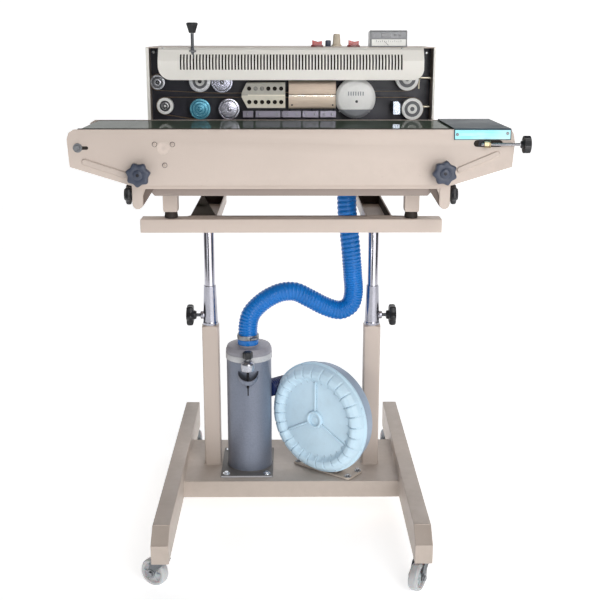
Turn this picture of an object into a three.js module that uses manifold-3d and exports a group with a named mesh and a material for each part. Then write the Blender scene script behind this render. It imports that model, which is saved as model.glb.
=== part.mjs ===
// Continuous band sealer on a wheeled stand: an H-shaped caster base with two square columns,
// a height-adjustable top frame, a conveyor table, a band-sealing head, and an air unit
// (filter canister, side-channel blower and ribbed hose) on the base platform.
// Millimetres, +Z up, the conveyor runs along X, the operator stands on the -Y side.
// Modelled about the middle of the caster base; the finished group is then moved so that its origin is on
// the floor under the middle of the whole machine, because the tension knob makes one end longer.
import * as THREE from 'three';
import { mergeVertices } from 'three/addons/utils/BufferGeometryUtils.js';
import Module from 'manifold-3d';

const wasm = await Module();
wasm.setup();

// ---------------------------------------------------------------- driving dimensions
const GAP = 0.3;                     // clearance between touching pieces
const ORIGIN_X = 14;                 // from the middle of the base to the middle of the whole machine
// base
const BASE_HALF_W = 268.5, BASE_HALF_L = 355, SIDE_W = 34, SIDE_Z0 = 62, SIDE_Z1 = 127;
const SHOE_Y = 320.5, SHOE_Z = 100.6, SIDE_WALL = 3;
const PLAT_Y0 = -65, PLAT_Y1 = 170, PLAT_Z0 = 62, PLAT_Z1 = 100, PLAT_T = 3;
// casters
const CASTER_R = 28, CASTER_W = 20, CASTER_TRAIL = 18, CASTER_Y = 326, CASTER_X = 251.5;
const CASTER_ANGLES = { front_left: 150, front_right: 240, rear_left: 75, rear_right: 105 };
// columns and lift
const COL_X = 176.7, COL_Y = 41.5, COL_W = 36, COL_WALL = 2.5, COL_Z1 = 423;
const SLEEVE_Z1 = 513, SLEEVE_R0 = 17, SLEEVE_R1 = 13.2, TUBE_R = 11.3, TUBE_Z0 = 318;
const FRAME_HALF_W = 300, FRAME_Y0 = -110, FRAME_Y1 = 260, FRAME_Z0 = 657.5, FRAME_Z1 = 684.5, FRAME_BAR = 40;
// lower machine tray
const TRAY_Z0 = 740, TRAY_Z1 = 755, TRAY_Y0 = -165, TRAY_Y1 = 284, POST_W = 29, POST_X = 240;
// conveyor table
const TAB_HALF = 420, TAB_Y0 = -185, TAB_Y1 = 35, TAB_Z0 = 763, TAB_Z1 = 868, TAB_END_Z = 798, TAB_FLAT = 304;
const ROLL_R = 24, ROLL_Z = 841, ROLL_XL = -392, ROLL_XR = 372, BELT_T = 1.8;
// sealing head
const HEAD_HALF = 298, HEAD_Y0 = 45, HEAD_Y1 = 285, HEAD_Z1 = 1014.3, SHEET = 2.3, PANEL_Y = 105;
const WHEEL_Y0 = 62, WHEEL_Y1 = 80, BAND_Y0 = 64, BAND_Y1 = 78, BAND_T = 0.8;
const UPPER = { idler: [-278, 942.6, 15.5], emboss: [-190, 944.8, 22.3], press: [-144, 943.4, 22.3], drive: [242.4, 950, 24] };
const LOWER = { idler: [-264, 894, 17], guide: [-190.6, 887.6, 21.5], press: [-130, 887.6, 22], drive: [254.7, 888.1, 22.5] };
// air unit
const CAN_X = -93, CAN_Y = 24, CAN_R = 49, CAN_Z1 = 355;
const BLOW_X = 62, BLOW_Y = -20, BLOW_Z = 231, BLOW_R = 125, BLOW_TURN = -38;
const HOSE_R = 21;

const root = new THREE.Group();
const BEIGE = 0xd3c8ba, STEEL = 0xb9bcc4;

// ---------------------------------------------------------------- helpers
function weld(geo) {
  const g = geo.clone();
  g.deleteAttribute('normal');
  g.deleteAttribute('uv');
  const m = mergeVertices(g, 1e-4);
  const p = m.attributes.position, a = m.index.array, idx = [];
  let vol = 0;
  const A = new THREE.Vector3(), B = new THREE.Vector3(), C = new THREE.Vector3();
  for (let i = 0; i < a.length; i += 3) {
    if (a[i] === a[i + 1] || a[i + 1] === a[i + 2] || a[i] === a[i + 2]) continue;
    idx.push(a[i], a[i + 1], a[i + 2]);
    A.fromBufferAttribute(p, a[i]); B.fromBufferAttribute(p, a[i + 1]); C.fromBufferAttribute(p, a[i + 2]);
    vol += A.dot(B.cross(C)) / 6;
  }
  if (vol < 0) for (let i = 0; i < idx.length; i += 3) [idx[i + 1], idx[i + 2]] = [idx[i + 2], idx[i + 1]];
  m.setIndex(idx);
  return m;
}
function solid(geo) {
  const g = weld(geo);
  const man = new wasm.Manifold(new wasm.Mesh({
    numProp: 3, vertProperties: new Float32Array(g.attributes.position.array), triVerts: new Uint32Array(g.index.array),
  }));
  return man;
}
function geometryOf(man) {
  const m = man.getMesh();
  const g = new THREE.BufferGeometry();
  const n = m.numProp, v = m.vertProperties, pos = new Float32Array((v.length / n) * 3);
  for (let i = 0; i < v.length / n; i++) for (let k = 0; k < 3; k++) pos[3 * i + k] = v[n * i + k];
  g.setAttribute('position', new THREE.BufferAttribute(pos, 3));
  g.setIndex(new THREE.BufferAttribute(new Uint32Array(m.triVerts), 1));
  return g;
}
const union = (...geos) => geos.map(solid).reduce((s, m) => s.add(m));
const cut = (man, ...geos) => geos.map(solid).reduce((s, m) => s.subtract(m), man);

function add(name, shape, color, roughness, metalness, parent = root) {
  let g = shape.isBufferGeometry ? weld(shape) : weld(geometryOf(shape));
  g = g.toNonIndexed();
  g.computeVertexNormals();
  const mesh = new THREE.Mesh(g, new THREE.MeshStandardMaterial({ color, roughness, metalness }));
  mesh.name = name;
  parent.add(mesh);
  return mesh;
}
function box(x0, x1, y0, y1, z0, z1) {
  const g = new THREE.BoxGeometry(x1 - x0, y1 - y0, z1 - z0);
  g.translate((x0 + x1) / 2, (y0 + y1) / 2, (z0 + z1) / 2);
  return g;
}
function shapeOf(pts, holes = []) {
  const s = new THREE.Shape(pts.map(([a, b]) => new THREE.Vector2(a, b)));
  for (const h of holes) s.holes.push(new THREE.Path(h.map(([a, b]) => new THREE.Vector2(a, b))));
  return s;
}
const extrude = (s, depth) => new THREE.ExtrudeGeometry(s, { depth, bevelEnabled: false, steps: 1, curveSegments: 8 });
// profile in (y,z), extruded along x
function prismX(pts, x0, x1, holes) {
  const g = extrude(shapeOf(pts, holes), x1 - x0);
  g.applyMatrix4(new THREE.Matrix4().set(0, 0, 1, x0, 1, 0, 0, 0, 0, 1, 0, 0, 0, 0, 0, 1));
  return g;
}
// profile in (x,z), extruded along y
function prismY(pts, y0, y1, holes) {
  const g = extrude(shapeOf(pts, holes), y1 - y0);
  g.rotateX(Math.PI / 2);
  g.translate(0, y1, 0);
  return g;
}
// profile in (x,y), extruded along z
function prismZ(pts, z0, z1, holes) {
  const g = extrude(shapeOf(pts, holes), z1 - z0);
  g.translate(0, 0, z0);
  return g;
}
// solid of revolution; profile is [radius, height] along the axis, from the centre c
function lathe(profile, c, axis = 'z', seg = 16) {
  const g = new THREE.LatheGeometry(profile.map(([r, h]) => new THREE.Vector2(r, h)), seg);
  if (axis === 'z') g.rotateX(Math.PI / 2);
  if (axis === 'x') g.rotateZ(-Math.PI / 2);
  g.translate(c[0], c[1], c[2]);
  return g;
}
const rod = (r, h0, h1, c, axis, seg = 12) => lathe([[0, h0], [r, h0], [r, h1], [0, h1]], c, axis, seg);
function starPoints(R, lobes, depth, n = 4) {
  const pts = [];
  for (let i = 0; i < lobes * n; i++) {
    const t = (i / (lobes * n)) * 2 * Math.PI;
    const r = R * (1 - depth * (0.5 - 0.5 * Math.cos(lobes * t)));
    pts.push([r * Math.cos(t), r * Math.sin(t)]);
  }
  return pts;
}
const shift = (pts, a, b) => pts.map(([p, q]) => [p + a, q + b]);

// ---------------------------------------------------------------- caster base
{
  // welded H frame: two hollow side members, open at the rear, and a folded platform with lips
  let frame = null;
  const xw = BASE_HALF_W - SIDE_W + 1.5;
  const slab = box(-xw, xw, PLAT_Y0, PLAT_Y1, PLAT_Z0, PLAT_Z1);
  const under = box(-xw - 5, xw + 5, PLAT_Y0 + PLAT_T, PLAT_Y1 - PLAT_T, PLAT_Z0 - 5, PLAT_Z1 - PLAT_T);
  frame = cut(solid(slab), under);
  for (const s of [-1, 1]) {
    const xin = s * (BASE_HALF_W - SIDE_W), xout = s * BASE_HALF_W;
    const x0 = Math.min(xin, xout), x1 = Math.max(xin, xout);
    const outer = prismX([[-BASE_HALF_L, SIDE_Z0], [BASE_HALF_L, SIDE_Z0], [BASE_HALF_L, SIDE_Z1],
      [-SHOE_Y, SIDE_Z1], [-BASE_HALF_L, SHOE_Z]], x0, x1);
    const bore = box(x0 + SIDE_WALL, x1 - SIDE_WALL, -SHOE_Y + 4, BASE_HALF_L + 5, SIDE_Z0 + SIDE_WALL, SIDE_Z1 - SIDE_WALL);
    frame = frame.add(cut(solid(outer), bore));
  }
  add('base_frame', frame, BEIGE, 0.5, 0.1);
}
for (const [key, deg] of Object.entries(CASTER_ANGLES)) {
  const sx = key.endsWith('left') ? -1 : 1, sy = key.startsWith('front') ? -1 : 1;
  const group = new THREE.Group();
  group.position.set(sx * CASTER_X, sy * CASTER_Y, 0);
  group.rotation.z = THREE.MathUtils.degToRad(deg);
  root.add(group);
  // in the caster's own frame the wheel trails along +x and turns about y
  const h = CASTER_W / 2 + 1.2, t = 2;
  const top = SIDE_Z0 - GAP, zc = CASTER_R;
  const leg = [[-13, top - 3], [14, top - 3], [CASTER_TRAIL + 7, zc + 3], [CASTER_TRAIL + 6, zc - 6],
    [CASTER_TRAIL - 2, zc - 8], [CASTER_TRAIL - 8, zc - 3], [-8, top - 14]];
  const fork = union(
    rod(16.5, top - 4, top, [0, 0, 0], 'z', 14),
    box(-13, 16, -h - t, h + t, top - 3.4, top - 0.6),
    prismY(leg, h, h + t), prismY(leg, -h - t, -h),
    rod(3.6, -h - t - 2, h + t + 2, [CASTER_TRAIL, 0, zc], 'y', 8));
  add(`caster_fork_${key}`, fork, 0x8d9094, 0.35, 0.8, group);
  const w = CASTER_W / 2, r = CASTER_R;
  add(`caster_wheel_${key}`, lathe([[4, -w], [r - 2.5, -w], [r, -w + 4], [r, w - 4], [r - 2.5, w], [4, w], [4, -w]],
  [CASTER_TRAIL, 0, zc], 'y', 20), 0xc9cccd, 0.45, 0, group);
}

// ---------------------------------------------------------------- columns, sleeves, lift tubes
const LOCK_Z = 446;
for (const s of [-1, 1]) {
  const side = s < 0 ? 'left' : 'right', x = s * COL_X, o = COL_W / 2, i = o - COL_WALL;
  const ring = prismZ(shift([[-o, -o], [o, -o], [o, o], [-o, o]], x, COL_Y), PLAT_Z1 + GAP, COL_Z1,
    [shift([[-i, -i], [-i, i], [i, i], [i, -i]], x, COL_Y)]);
  const ri = TUBE_R + 0.4;
  const sleeve = lathe([[ri, COL_Z1 - 2], [SLEEVE_R0, COL_Z1 - 2], [SLEEVE_R0, COL_Z1 + 8],
    [SLEEVE_R1, SLEEVE_Z1], [ri, SLEEVE_Z1], [ri, COL_Z1 - 2]], [x, COL_Y, 0], 'z', 20);
  const cap = prismZ(shift([[-o, -o], [o, -o], [o, o], [-o, o]], x, COL_Y), COL_Z1 - 2.5, COL_Z1);
  const bore = rod(ri, COL_Z1 - 10, COL_Z1 + 10, [x, COL_Y, 0], 'z', 20);
  const screw = rod(4.4, 0, 30, [x, COL_Y, LOCK_Z], 'x', 8);
  if (s < 0) screw.translate(-30, 0, 0);
  add(`column_${side}`, cut(union(ring, cap, sleeve), bore, screw), BEIGE, 0.5, 0.1);
  add(`lift_tube_${side}`, rod(TUBE_R, TUBE_Z0, FRAME_Z0 - GAP, [x, COL_Y, 0], 'z', 20), 0xc4c2cc, 0.15, 1);
  // clamp screw with a lobed hand knob, screwed into the sleeve
  const tip = TUBE_R + 0.8, kx0 = 30.5, kx1 = 54;
  const knob = union(
    prismX(starPoints(24, 6, 0.2), kx0 + 7, kx1 - 3),
    lathe([[0, kx0], [9, kx0], [10, kx0 + 8], [17, kx0 + 8], [16, kx1], [0, kx1]], [0, 0, 0], 'x', 12),
    rod(4, tip, kx0 + 2, [0, 0, 0], 'x', 8));
  const m = add(`lock_knob_${side}`, knob, 0x17181c, 0.4, 0);
  m.position.set(x, COL_Y, LOCK_Z);
  if (s < 0) m.rotation.z = Math.PI;
}

// ---------------------------------------------------------------- top frame of the stand
{
  const xw = FRAME_HALF_W, z0 = FRAME_Z0, z1 = FRAME_Z1, t = 2.5, b = FRAME_BAR;
  const channel = (y0, y1) => cut(solid(box(-xw, xw, y0, y1, z0, z1)), box(-xw + t, xw - t, y0 + t, y1 - t, z0 - 5, z1 - t));
  const rail = (x) => cut(solid(box(x - 27, x + 27, FRAME_Y0 + b - 1.2, FRAME_Y1, z0, z1 - 0.4)),
    box(x - 27 + t, x + 27 - t, FRAME_Y0 + b + 0.2, FRAME_Y1 - t, z0 + t, z1 + 5));
  const strap = solid(box(-262, 262, FRAME_Y1 - 32, FRAME_Y1, z1 - 5, z1));
  const frame = channel(FRAME_Y0, FRAME_Y0 + b).add(rail(-COL_X - 1)).add(rail(COL_X + 1)).add(strap);
  add('top_frame', frame, BEIGE, 0.5, 0.1);
}

// ---------------------------------------------------------------- lower tray of the machine, on four posts with feet
{
  const t = 2.5;
  const outer = prismY([[-262, TRAY_Z0], [262, TRAY_Z0], [275, TRAY_Z1], [-275, TRAY_Z1]], TRAY_Y0, TRAY_Y1);
  const inner = box(-262 + t, 262 - t, TRAY_Y0 + t, TRAY_Y1 - t, TRAY_Z0 + t, TRAY_Z1 + 5);
  let tray = cut(solid(outer), inner);
  for (const x of [-POST_X, POST_X]) for (const y of [FRAME_Y0 + 20, FRAME_Y1 - 16]) {
    tray = tray.add(solid(box(x - POST_W / 2, x + POST_W / 2, y - POST_W / 2, y + POST_W / 2, 698, TRAY_Z0 + 1)));
    tray = tray.add(solid(lathe([[0, FRAME_Z1 + GAP], [13.5, FRAME_Z1 + GAP], [12, 699], [0, 699]], [x, y, 0], 'z', 10)));
  }
  // outlet neck for the ribbed hose, underneath
  tray = tray.add(solid(rod(24, TRAY_Z0 - 5, TRAY_Z0 + 1, [118, 40, 0], 'z', 16)));
  add('machine_tray', tray, BEIGE, 0.5, 0.1);
}

// ---------------------------------------------------------------- conveyor table
{
  const side = [[-TAB_HALF + 3, TAB_END_Z], [-TAB_FLAT, TAB_Z0], [TAB_FLAT, TAB_Z0], [TAB_HALF - 3, TAB_END_Z],
    [TAB_HALF, TAB_Z1 - 24], [TAB_HALF - 3, TAB_Z1 - 8], [TAB_HALF - 8, TAB_Z1], [-TAB_HALF + 14, TAB_Z1], [-TAB_HALF + 4, TAB_Z1 - 6], [-TAB_HALF, TAB_Z1 - 18]];
  const slot = [];
  for (let k = 0; k <= 6; k++) { const a = -Math.PI / 2 + (k / 6) * Math.PI; slot.push([391 + 6.5 * Math.cos(a), 842 + 6.5 * Math.sin(a)]); }
  for (let k = 0; k <= 6; k++) { const a = Math.PI / 2 + (k / 6) * Math.PI; slot.push([349 + 6.5 * Math.cos(a), 842 + 6.5 * Math.sin(a)]); }
  const t = 2.2;
  const front = prismY(side, TAB_Y0, TAB_Y0 + t, [slot.slice().reverse()]);
  const back = prismY(side, TAB_Y1 - t, TAB_Y1);
  const slope = (s) => prismY(s < 0
    ? [[-TAB_HALF + 3, TAB_END_Z], [-TAB_FLAT, TAB_Z0], [-TAB_FLAT, TAB_Z0 + t], [-TAB_HALF + 3, TAB_END_Z + t]]
    : [[TAB_FLAT, TAB_Z0], [TAB_HALF - 3, TAB_END_Z], [TAB_HALF - 3, TAB_END_Z + t], [TAB_FLAT, TAB_Z0 + t]], TAB_Y0 + 0.5, TAB_Y1 - 0.5);
  const floor = box(-TAB_FLAT - 0.5, TAB_FLAT + 0.5, TAB_Y0 + 0.5, TAB_Y1 - 0.5, TAB_Z0, TAB_Z0 + t);
  const bed = box(-360, 340, TAB_Y0 + 0.5, TAB_Y1 - 0.5, TAB_Z1 - 6.6, TAB_Z1 - 3.4);
  add('table_frame', union(front, back, slope(-1), slope(1), floor, bed), BEIGE, 0.5, 0.1);

  const y0 = TAB_Y0 + t + 1.2, y1 = TAB_Y1 - t - 1.2;
  const loop = (r, n = 10) => {
    const p = [];
    for (let k = 0; k <= n; k++) { const a = -Math.PI / 2 + (k / n) * Math.PI; p.push([ROLL_XR + r * Math.cos(a), ROLL_Z + r * Math.sin(a)]); }
    for (let k = 0; k <= n; k++) { const a = Math.PI / 2 + (k / n) * Math.PI; p.push([ROLL_XL + r * Math.cos(a), ROLL_Z + r * Math.sin(a)]); }
    return p;
  };
  add('conveyor_belt', prismY(loop(ROLL_R + 0.4 + BELT_T), y0, y1, [loop(ROLL_R + 0.4).reverse()]), 0x1d3a2c, 0.15, 0);
  for (const [name, x] of [['roller_left', ROLL_XL], ['roller_right', ROLL_XR]]) {
    add(name, lathe([[0, y0 - 0.6], [5, y0 - 0.6], [5, y0 + 1], [ROLL_R, y0 + 1],
      [ROLL_R, y1 - 1], [5, y1 - 1], [5, y1 + 0.6], [0, y1 + 0.6]], [x, 0, ROLL_Z], 'y', 20), STEEL, 0.3, 0.9);
  }
  // stainless cover over the delivery end
  const c0 = 305, c1 = 412;
  add('end_cover', union(box(c0, c1, TAB_Y0 - 2, TAB_Y1 + 1, TAB_Z1 + GAP + 0.2, TAB_Z1 + 2),
    box(c0, c1, TAB_Y0 - 2, TAB_Y0 - 0.4, TAB_Z1 - 19, TAB_Z1 + 1)), 0xbcc6cc, 0.25, 0.9);
  // belt tension screw: stem, nut and hand knob
  const ky = TAB_Y0 - 7.6, kz = 841;
  add('tension_screw', union(rod(3, 372, 433, [0, ky, kz], 'x', 8),
    lathe([[0, 361], [6.2, 361], [6.2, 373], [0, 373]], [0, ky, kz], 'x', 10),
    prismX(shift(starPoints(16.5, 6, 0.16), ky, kz), 434, 446),
    lathe([[0, 431], [7, 431], [11, 435], [11, 448], [0, 448]], [0, ky, kz], 'x', 10)), 0x1b1c20, 0.4, 0);
  // front height knobs
  for (const [name, x, z] of [['table_knob_left', -286, 786], ['table_knob_right', 287, 789]]) {
    add(name, union(
      prismY(shift(starPoints(23.5, 7, 0.17), x, z), TAB_Y0 - 27, TAB_Y0 - 12),
      lathe([[0, TAB_Y0 - GAP], [8, TAB_Y0 - GAP], [9, TAB_Y0 - 13], [17, TAB_Y0 - 13], [16, TAB_Y0 - 28], [9, TAB_Y0 - 30.5], [0, TAB_Y0 - 30.5]], [x, 0, z], 'y', 12)),
    0x23262f, 0.4, 0);
  }
}
// sliding bracket between the tray and the table: cross bar with a hanging lug at each end
{
  const lug = (s) => {
    const x0 = s * 283, x1 = s * 303, a = Math.min(x0, x1), b = Math.max(x0, x1), c = (a + b) / 2, p = [[b, 762], [a, 762]];
    for (let k = 0; k <= 5; k++) { const t = Math.PI + (k / 5) * Math.PI; p.push([c + 10 * Math.cos(t), 726 + 10 * Math.sin(t)]); }
    return p;
  };
  const bar = box(-303, 303, -178, -150, TRAY_Z1 + GAP, TAB_Z0 - GAP);
  const web = prismY([[-283.5, 757], [-277, 757], [-283.5, 740]], -176, -172);
  const web2 = prismY([[283.5, 757], [283.5, 740], [277, 757]], -176, -172);
  const hole = rod(4.4, -330, 330, [0, -164, 743], 'x', 8);
  add('table_bracket', cut(union(bar, prismY(lug(-1), -178, -150), prismY(lug(1), -178, -150), web, web2), hole), BEIGE, 0.5, 0.1);
  for (const s of [-1, 1]) {
    const k = union(
      prismX(starPoints(19.5, 6, 0.16), 305.5, 317),
      lathe([[0, 286], [4, 286], [4, 303.6], [12, 303.6], [12, 319.5], [0, 319.5]], [0, 0, 0], 'x', 10));
    const m = add(s < 0 ? 'side_knob_left' : 'side_knob_right', k, 0x1b1c20, 0.4, 0);
    m.position.set(0, -164, 743);
    if (s < 0) m.rotation.z = Math.PI;
  }
}

// ---------------------------------------------------------------- sealing head
{
  const z0 = TRAY_Z1 + GAP, hx = HEAD_HALF, t = SHEET;
  // folded cover: top, two sides and back, open at the front and below
  const outer = box(-hx, hx, HEAD_Y0, HEAD_Y1, z0, HEAD_Z1);
  const inner = box(-hx + t, hx - t, HEAD_Y0 - 5, HEAD_Y1 - t, z0 - 5, HEAD_Z1 - t);
  add('head_cover', cut(solid(outer), inner), BEIGE, 0.5, 0.1);

  // black mounting panel with the brackets that carry the guides
  const px = hx - t - GAP;
  let panel = solid(box(-px, px, PANEL_Y, PANEL_Y + 3, z0 + 2, HEAD_Z1 - t - GAP));
  panel = panel.add(solid(box(-101, 94, 56, 59, 871, 884.5)));
  for (const x of [-96, -20, 60]) panel = panel.add(solid(box(x, x + 14, 58, PANEL_Y + 1, 872, 883)));
  panel = panel.add(solid(box(214, 229, 57, PANEL_Y + 1, 877, 904)));
  add('head_panel', panel, 0x2b2b36, 0.35, 0.1);

  // geared drive motor behind the panel
  add('drive_motor', union(box(205, 285, PANEL_Y + 3.4, PANEL_Y + 55, 865, 975), rod(32, PANEL_Y + 50, PANEL_Y + 140, [245, 0, 920], 'y', 16)), 0x4a4d52, 0.5, 0.6);

  // slotted guard in front of the upper wheels
  const g = [[44.7, 1013.6], [38, 1009], [24, 987], [24, 949], [25.5, 949], [25.5, 986.6], [39.2, 1007.8], [44.7, 1011.6]];
  let guard = solid(prismX(g, -271.5, 272));
  const corner = (s, r) => {
    // material outside a rounded lower corner
    const cx = s < 0 ? -271.5 + r : 272 - r, cz = 949 + r, p = [];
    for (let k = 0; k <= 7; k++) { const a = (k / 7) * Math.PI / 2; p.push([cx + s * r * Math.cos(a), cz - r * Math.sin(a)]); }
    p.push([cx, 940], [cx + s * (r + 10), 940], [cx + s * (r + 10), cz]);
    return prismY(p, 15, 50);
  };
  guard = guard.subtract(solid(corner(-1, 27))).subtract(solid(corner(1, 22)));
  const slots = 35, sx0 = -222, pitch = 13.1;
  for (let k = 0; k < slots; k++) guard = guard.subtract(solid(box(sx0 + k * pitch, sx0 + k * pitch + 4.6, 15, 35.5, 969.5, 1000.5)));
  guard = guard.subtract(solid(rod(5.2, 980, 1030, [-200.7, 35, 0], 'z', 8)));
  add('guard_cover', guard, 0xdedad2, 0.45, 0.1);

  // wheels on short shafts
  const wheel = (name, [x, z, r], kind, color, rough, metal) => {
    const f = WHEEL_Y0, b = WHEEL_Y1, end = PANEL_Y - GAP;
    const prof = kind === 'idler'
      ? [[0, f], [r - 0.8, f], [r, f + 1], [r, b], [5, b], [5, end], [0, end]]
      : [[0, f - 1.5], [6, f - 1.5], [8, f], [r - 1, f], [r, f + 1], [r, b], [6, b], [6, end], [0, end]];
    add(name, lathe(prof, [x, 0, z], 'y', 18), color, rough, metal);
  };
  wheel('idler_upper', UPPER.idler, 'idler', 0xd5d6da, 0.3, 0.5);
  wheel('idler_lower', LOWER.idler, 'idler', 0xf0f0ee, 0.4, 0.1);
  wheel('embossing_wheel', UPPER.emboss, 'wheel', 0xd9dade, 0.25, 0.8);
  wheel('press_wheel_upper', UPPER.press, 'wheel', 0xd4d5e0, 0.25, 0.8);
  wheel('guide_wheel_lower', LOWER.guide, 'wheel', 0x5fb3cf, 0.25, 0.3);
  wheel('press_wheel_lower', LOWER.press, 'wheel', 0xdcdce6, 0.25, 0.8);
  wheel('drive_wheel_upper', UPPER.drive, 'wheel', 0xece9e2, 0.35, 0.3);
  wheel('drive_wheel_lower', LOWER.drive, 'wheel', 0xece9e2, 0.35, 0.3);

  // two endless sealing bands
  const hull = (discs, off) => {
    const p = [];
    for (const [x, z, r] of discs) for (let k = 0; k < 18; k++) { const a = (k / 18) * 2 * Math.PI; p.push([x + (r + off) * Math.cos(a), z + (r + off) * Math.sin(a)]); }
    p.sort((a, b) => a[0] - b[0] || a[1] - b[1]);
    const cr = (o, a, b) => (a[0] - o[0]) * (b[1] - o[1]) - (a[1] - o[1]) * (b[0] - o[0]);
    const half = (list) => { const h = []; for (const q of list) { while (h.length > 1 && cr(h[h.length - 2], h[h.length - 1], q) <= 0) h.pop(); h.push(q); } h.pop(); return h; };
    return half(p).concat(half(p.slice().reverse()));
  };
  for (const [name, set] of [['sealing_band_upper', UPPER], ['sealing_band_lower', LOWER]]) {
    const d = Object.values(set);
    add(name, prismY(hull(d, 0.6 + BAND_T), BAND_Y0, BAND_Y1, [hull(d, 0.6).reverse()]), 0x6b5f52, 0.5, 0);
  }

  // heater and cooler blocks; the bands run through the slot between their halves
  const jaw = (yf, z0j, z1j) => [[yf, z0j], [100, z0j], [100, z1j], [yf, z1j], [yf, 917.4], [60, 917.4], [60, 929], [88, 929], [88, 907], [60, 907], [60, 916.8], [yf, 916.8]];
  let heater = solid(prismX(jaw(50, 891, 943), -102, -12));
  heater = heater.subtract(solid(prismY([[-103, 945], [-103, 921], [-92, 945]], 45, 105)))
    .subtract(solid(prismY([[-103, 889], [-91, 889], [-103, 913]], 45, 105)));
  for (const z of [930.5, 903]) for (let k = 0; k < 6; k++) heater = heater.subtract(solid(rod(4.6, 45, 57.5, [-87 + k * 13.3, 0, z], 'y', 8)));
  add('heater_block', heater, 0xe6dcc0, 0.45, 0.2);
  add('cooler_block', prismX(jaw(52, 889, 946), -5, 93.5), 0xc9b196, 0.45, 0.3);
  const fan = solid(rod(42, 40, 58, [134, 0, 911], 'y', 28)).add(solid(box(120, 148, 57, PANEL_Y - GAP, 880, 906)));
  add('fan_cover', fan.subtract(solid(box(80, 94.2, 30, 120, 850, 970))), 0xf2f3f3, 0.4, 0);

  // pressure screw and the controls on top
  add('pressure_screw', union(rod(3.6, 984, 1044, [0, 0, 0], 'z', 10),
    lathe([[0, 1042], [7, 1042], [11, 1046], [12, 1052], [12, 1061], [10.5, 1063], [0, 1063]], [0, 0, 0], 'z', 12)), 0x17181a, 0.4, 0).position.set(-200.7, 35, 0);
  const top = HEAD_Z1 + GAP;
  const rocker = (name, x0, x1) => add(name, prismY([[x0 + 1, top + 2.4], [x1 - 1, top + 2.4], [x1, top + 5], [x1 - 1.5, top + 13], [(x0 + x1) / 2, top + 11.5], [x0 + 1.5, top + 14], [x0, top + 5]], 60, 80), 0xb8271f, 0.3, 0);
  rocker('power_switch', 42, 66);
  rocker('fan_switch', 117, 142);
  add('speed_knob', lathe([[0, top], [6, top], [6, top + 11], [5, top + 13.4], [0, top + 13.4]], [77, 70, 0], 'z', 12), 0x2c2f38, 0.4, 0);
  add('temperature_knob', lathe([[0, top], [10.8, top], [10.6, top + 4], [7.6, top + 24], [6.8, top + 26.2], [0, top + 26.2]], [94.6, 70, 0], 'z', 14), 0xc9bda8, 0.4, 0);
  const m0 = 163, m1 = 240;
  add('meter_box', prismX([[58, top], [112, top], [112, top + 30], [66, top + 33.4], [60, top + 31]], m0, m1), 0xc8c9cb, 0.35, 0);
}

// ---------------------------------------------------------------- filter canister
{
  const z0 = PLAT_Z1 + GAP;
  let body = solid(box(-155, -41, -46, 112, z0, z0 + 4));
  for (const x of [-143, -54]) for (const y of [-34, 100]) body = body.add(solid(rod(5, z0 + 3, z0 + 8.5, [x, y, 0], 'z', 6)));
  body = body.add(solid(lathe([[0, z0 + 3], [CAN_R, z0 + 3], [CAN_R, CAN_Z1], [CAN_R - 2.5, CAN_Z1], [CAN_R - 2.5, z0 + 8], [0, z0 + 8]], [CAN_X, CAN_Y, 0], 'z', 28)));
  add('canister_body', body, 0x80848f, 0.4, 0.5);
  const c0 = CAN_Z1 + GAP;
  let cap = solid(lathe([[0, c0], [CAN_R + 1, c0], [CAN_R + 1, 376], [CAN_R - 4, 386], [0, 388]], [CAN_X, CAN_Y, 0], 'z', 28));
  cap = cap.add(solid(rod(HOSE_R + 1.5, 380, 390, [-94, 12, 0], 'z', 16)));
  // relief valve in front of the cap
  cap = cap.add(solid(box(-99, -87, -42, -20, 357, 364)));
  cap = cap.add(solid(lathe([[0, 322], [3, 322], [4, 330], [14.5, 344], [14.5, 362], [9, 366], [0, 366]], [CAN_X, -42, 0], 'z', 14)));
  add('canister_cap', cap, 0x8e929b, 0.4, 0.5);
  add('valve_knob', union(prismZ(shift(starPoints(11, 6, 0.14), CAN_X, -42), 372, 388), rod(4, 366.4, 374, [CAN_X, -42, 0], 'z', 8)), 0x15161a, 0.4, 0);
}

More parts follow.
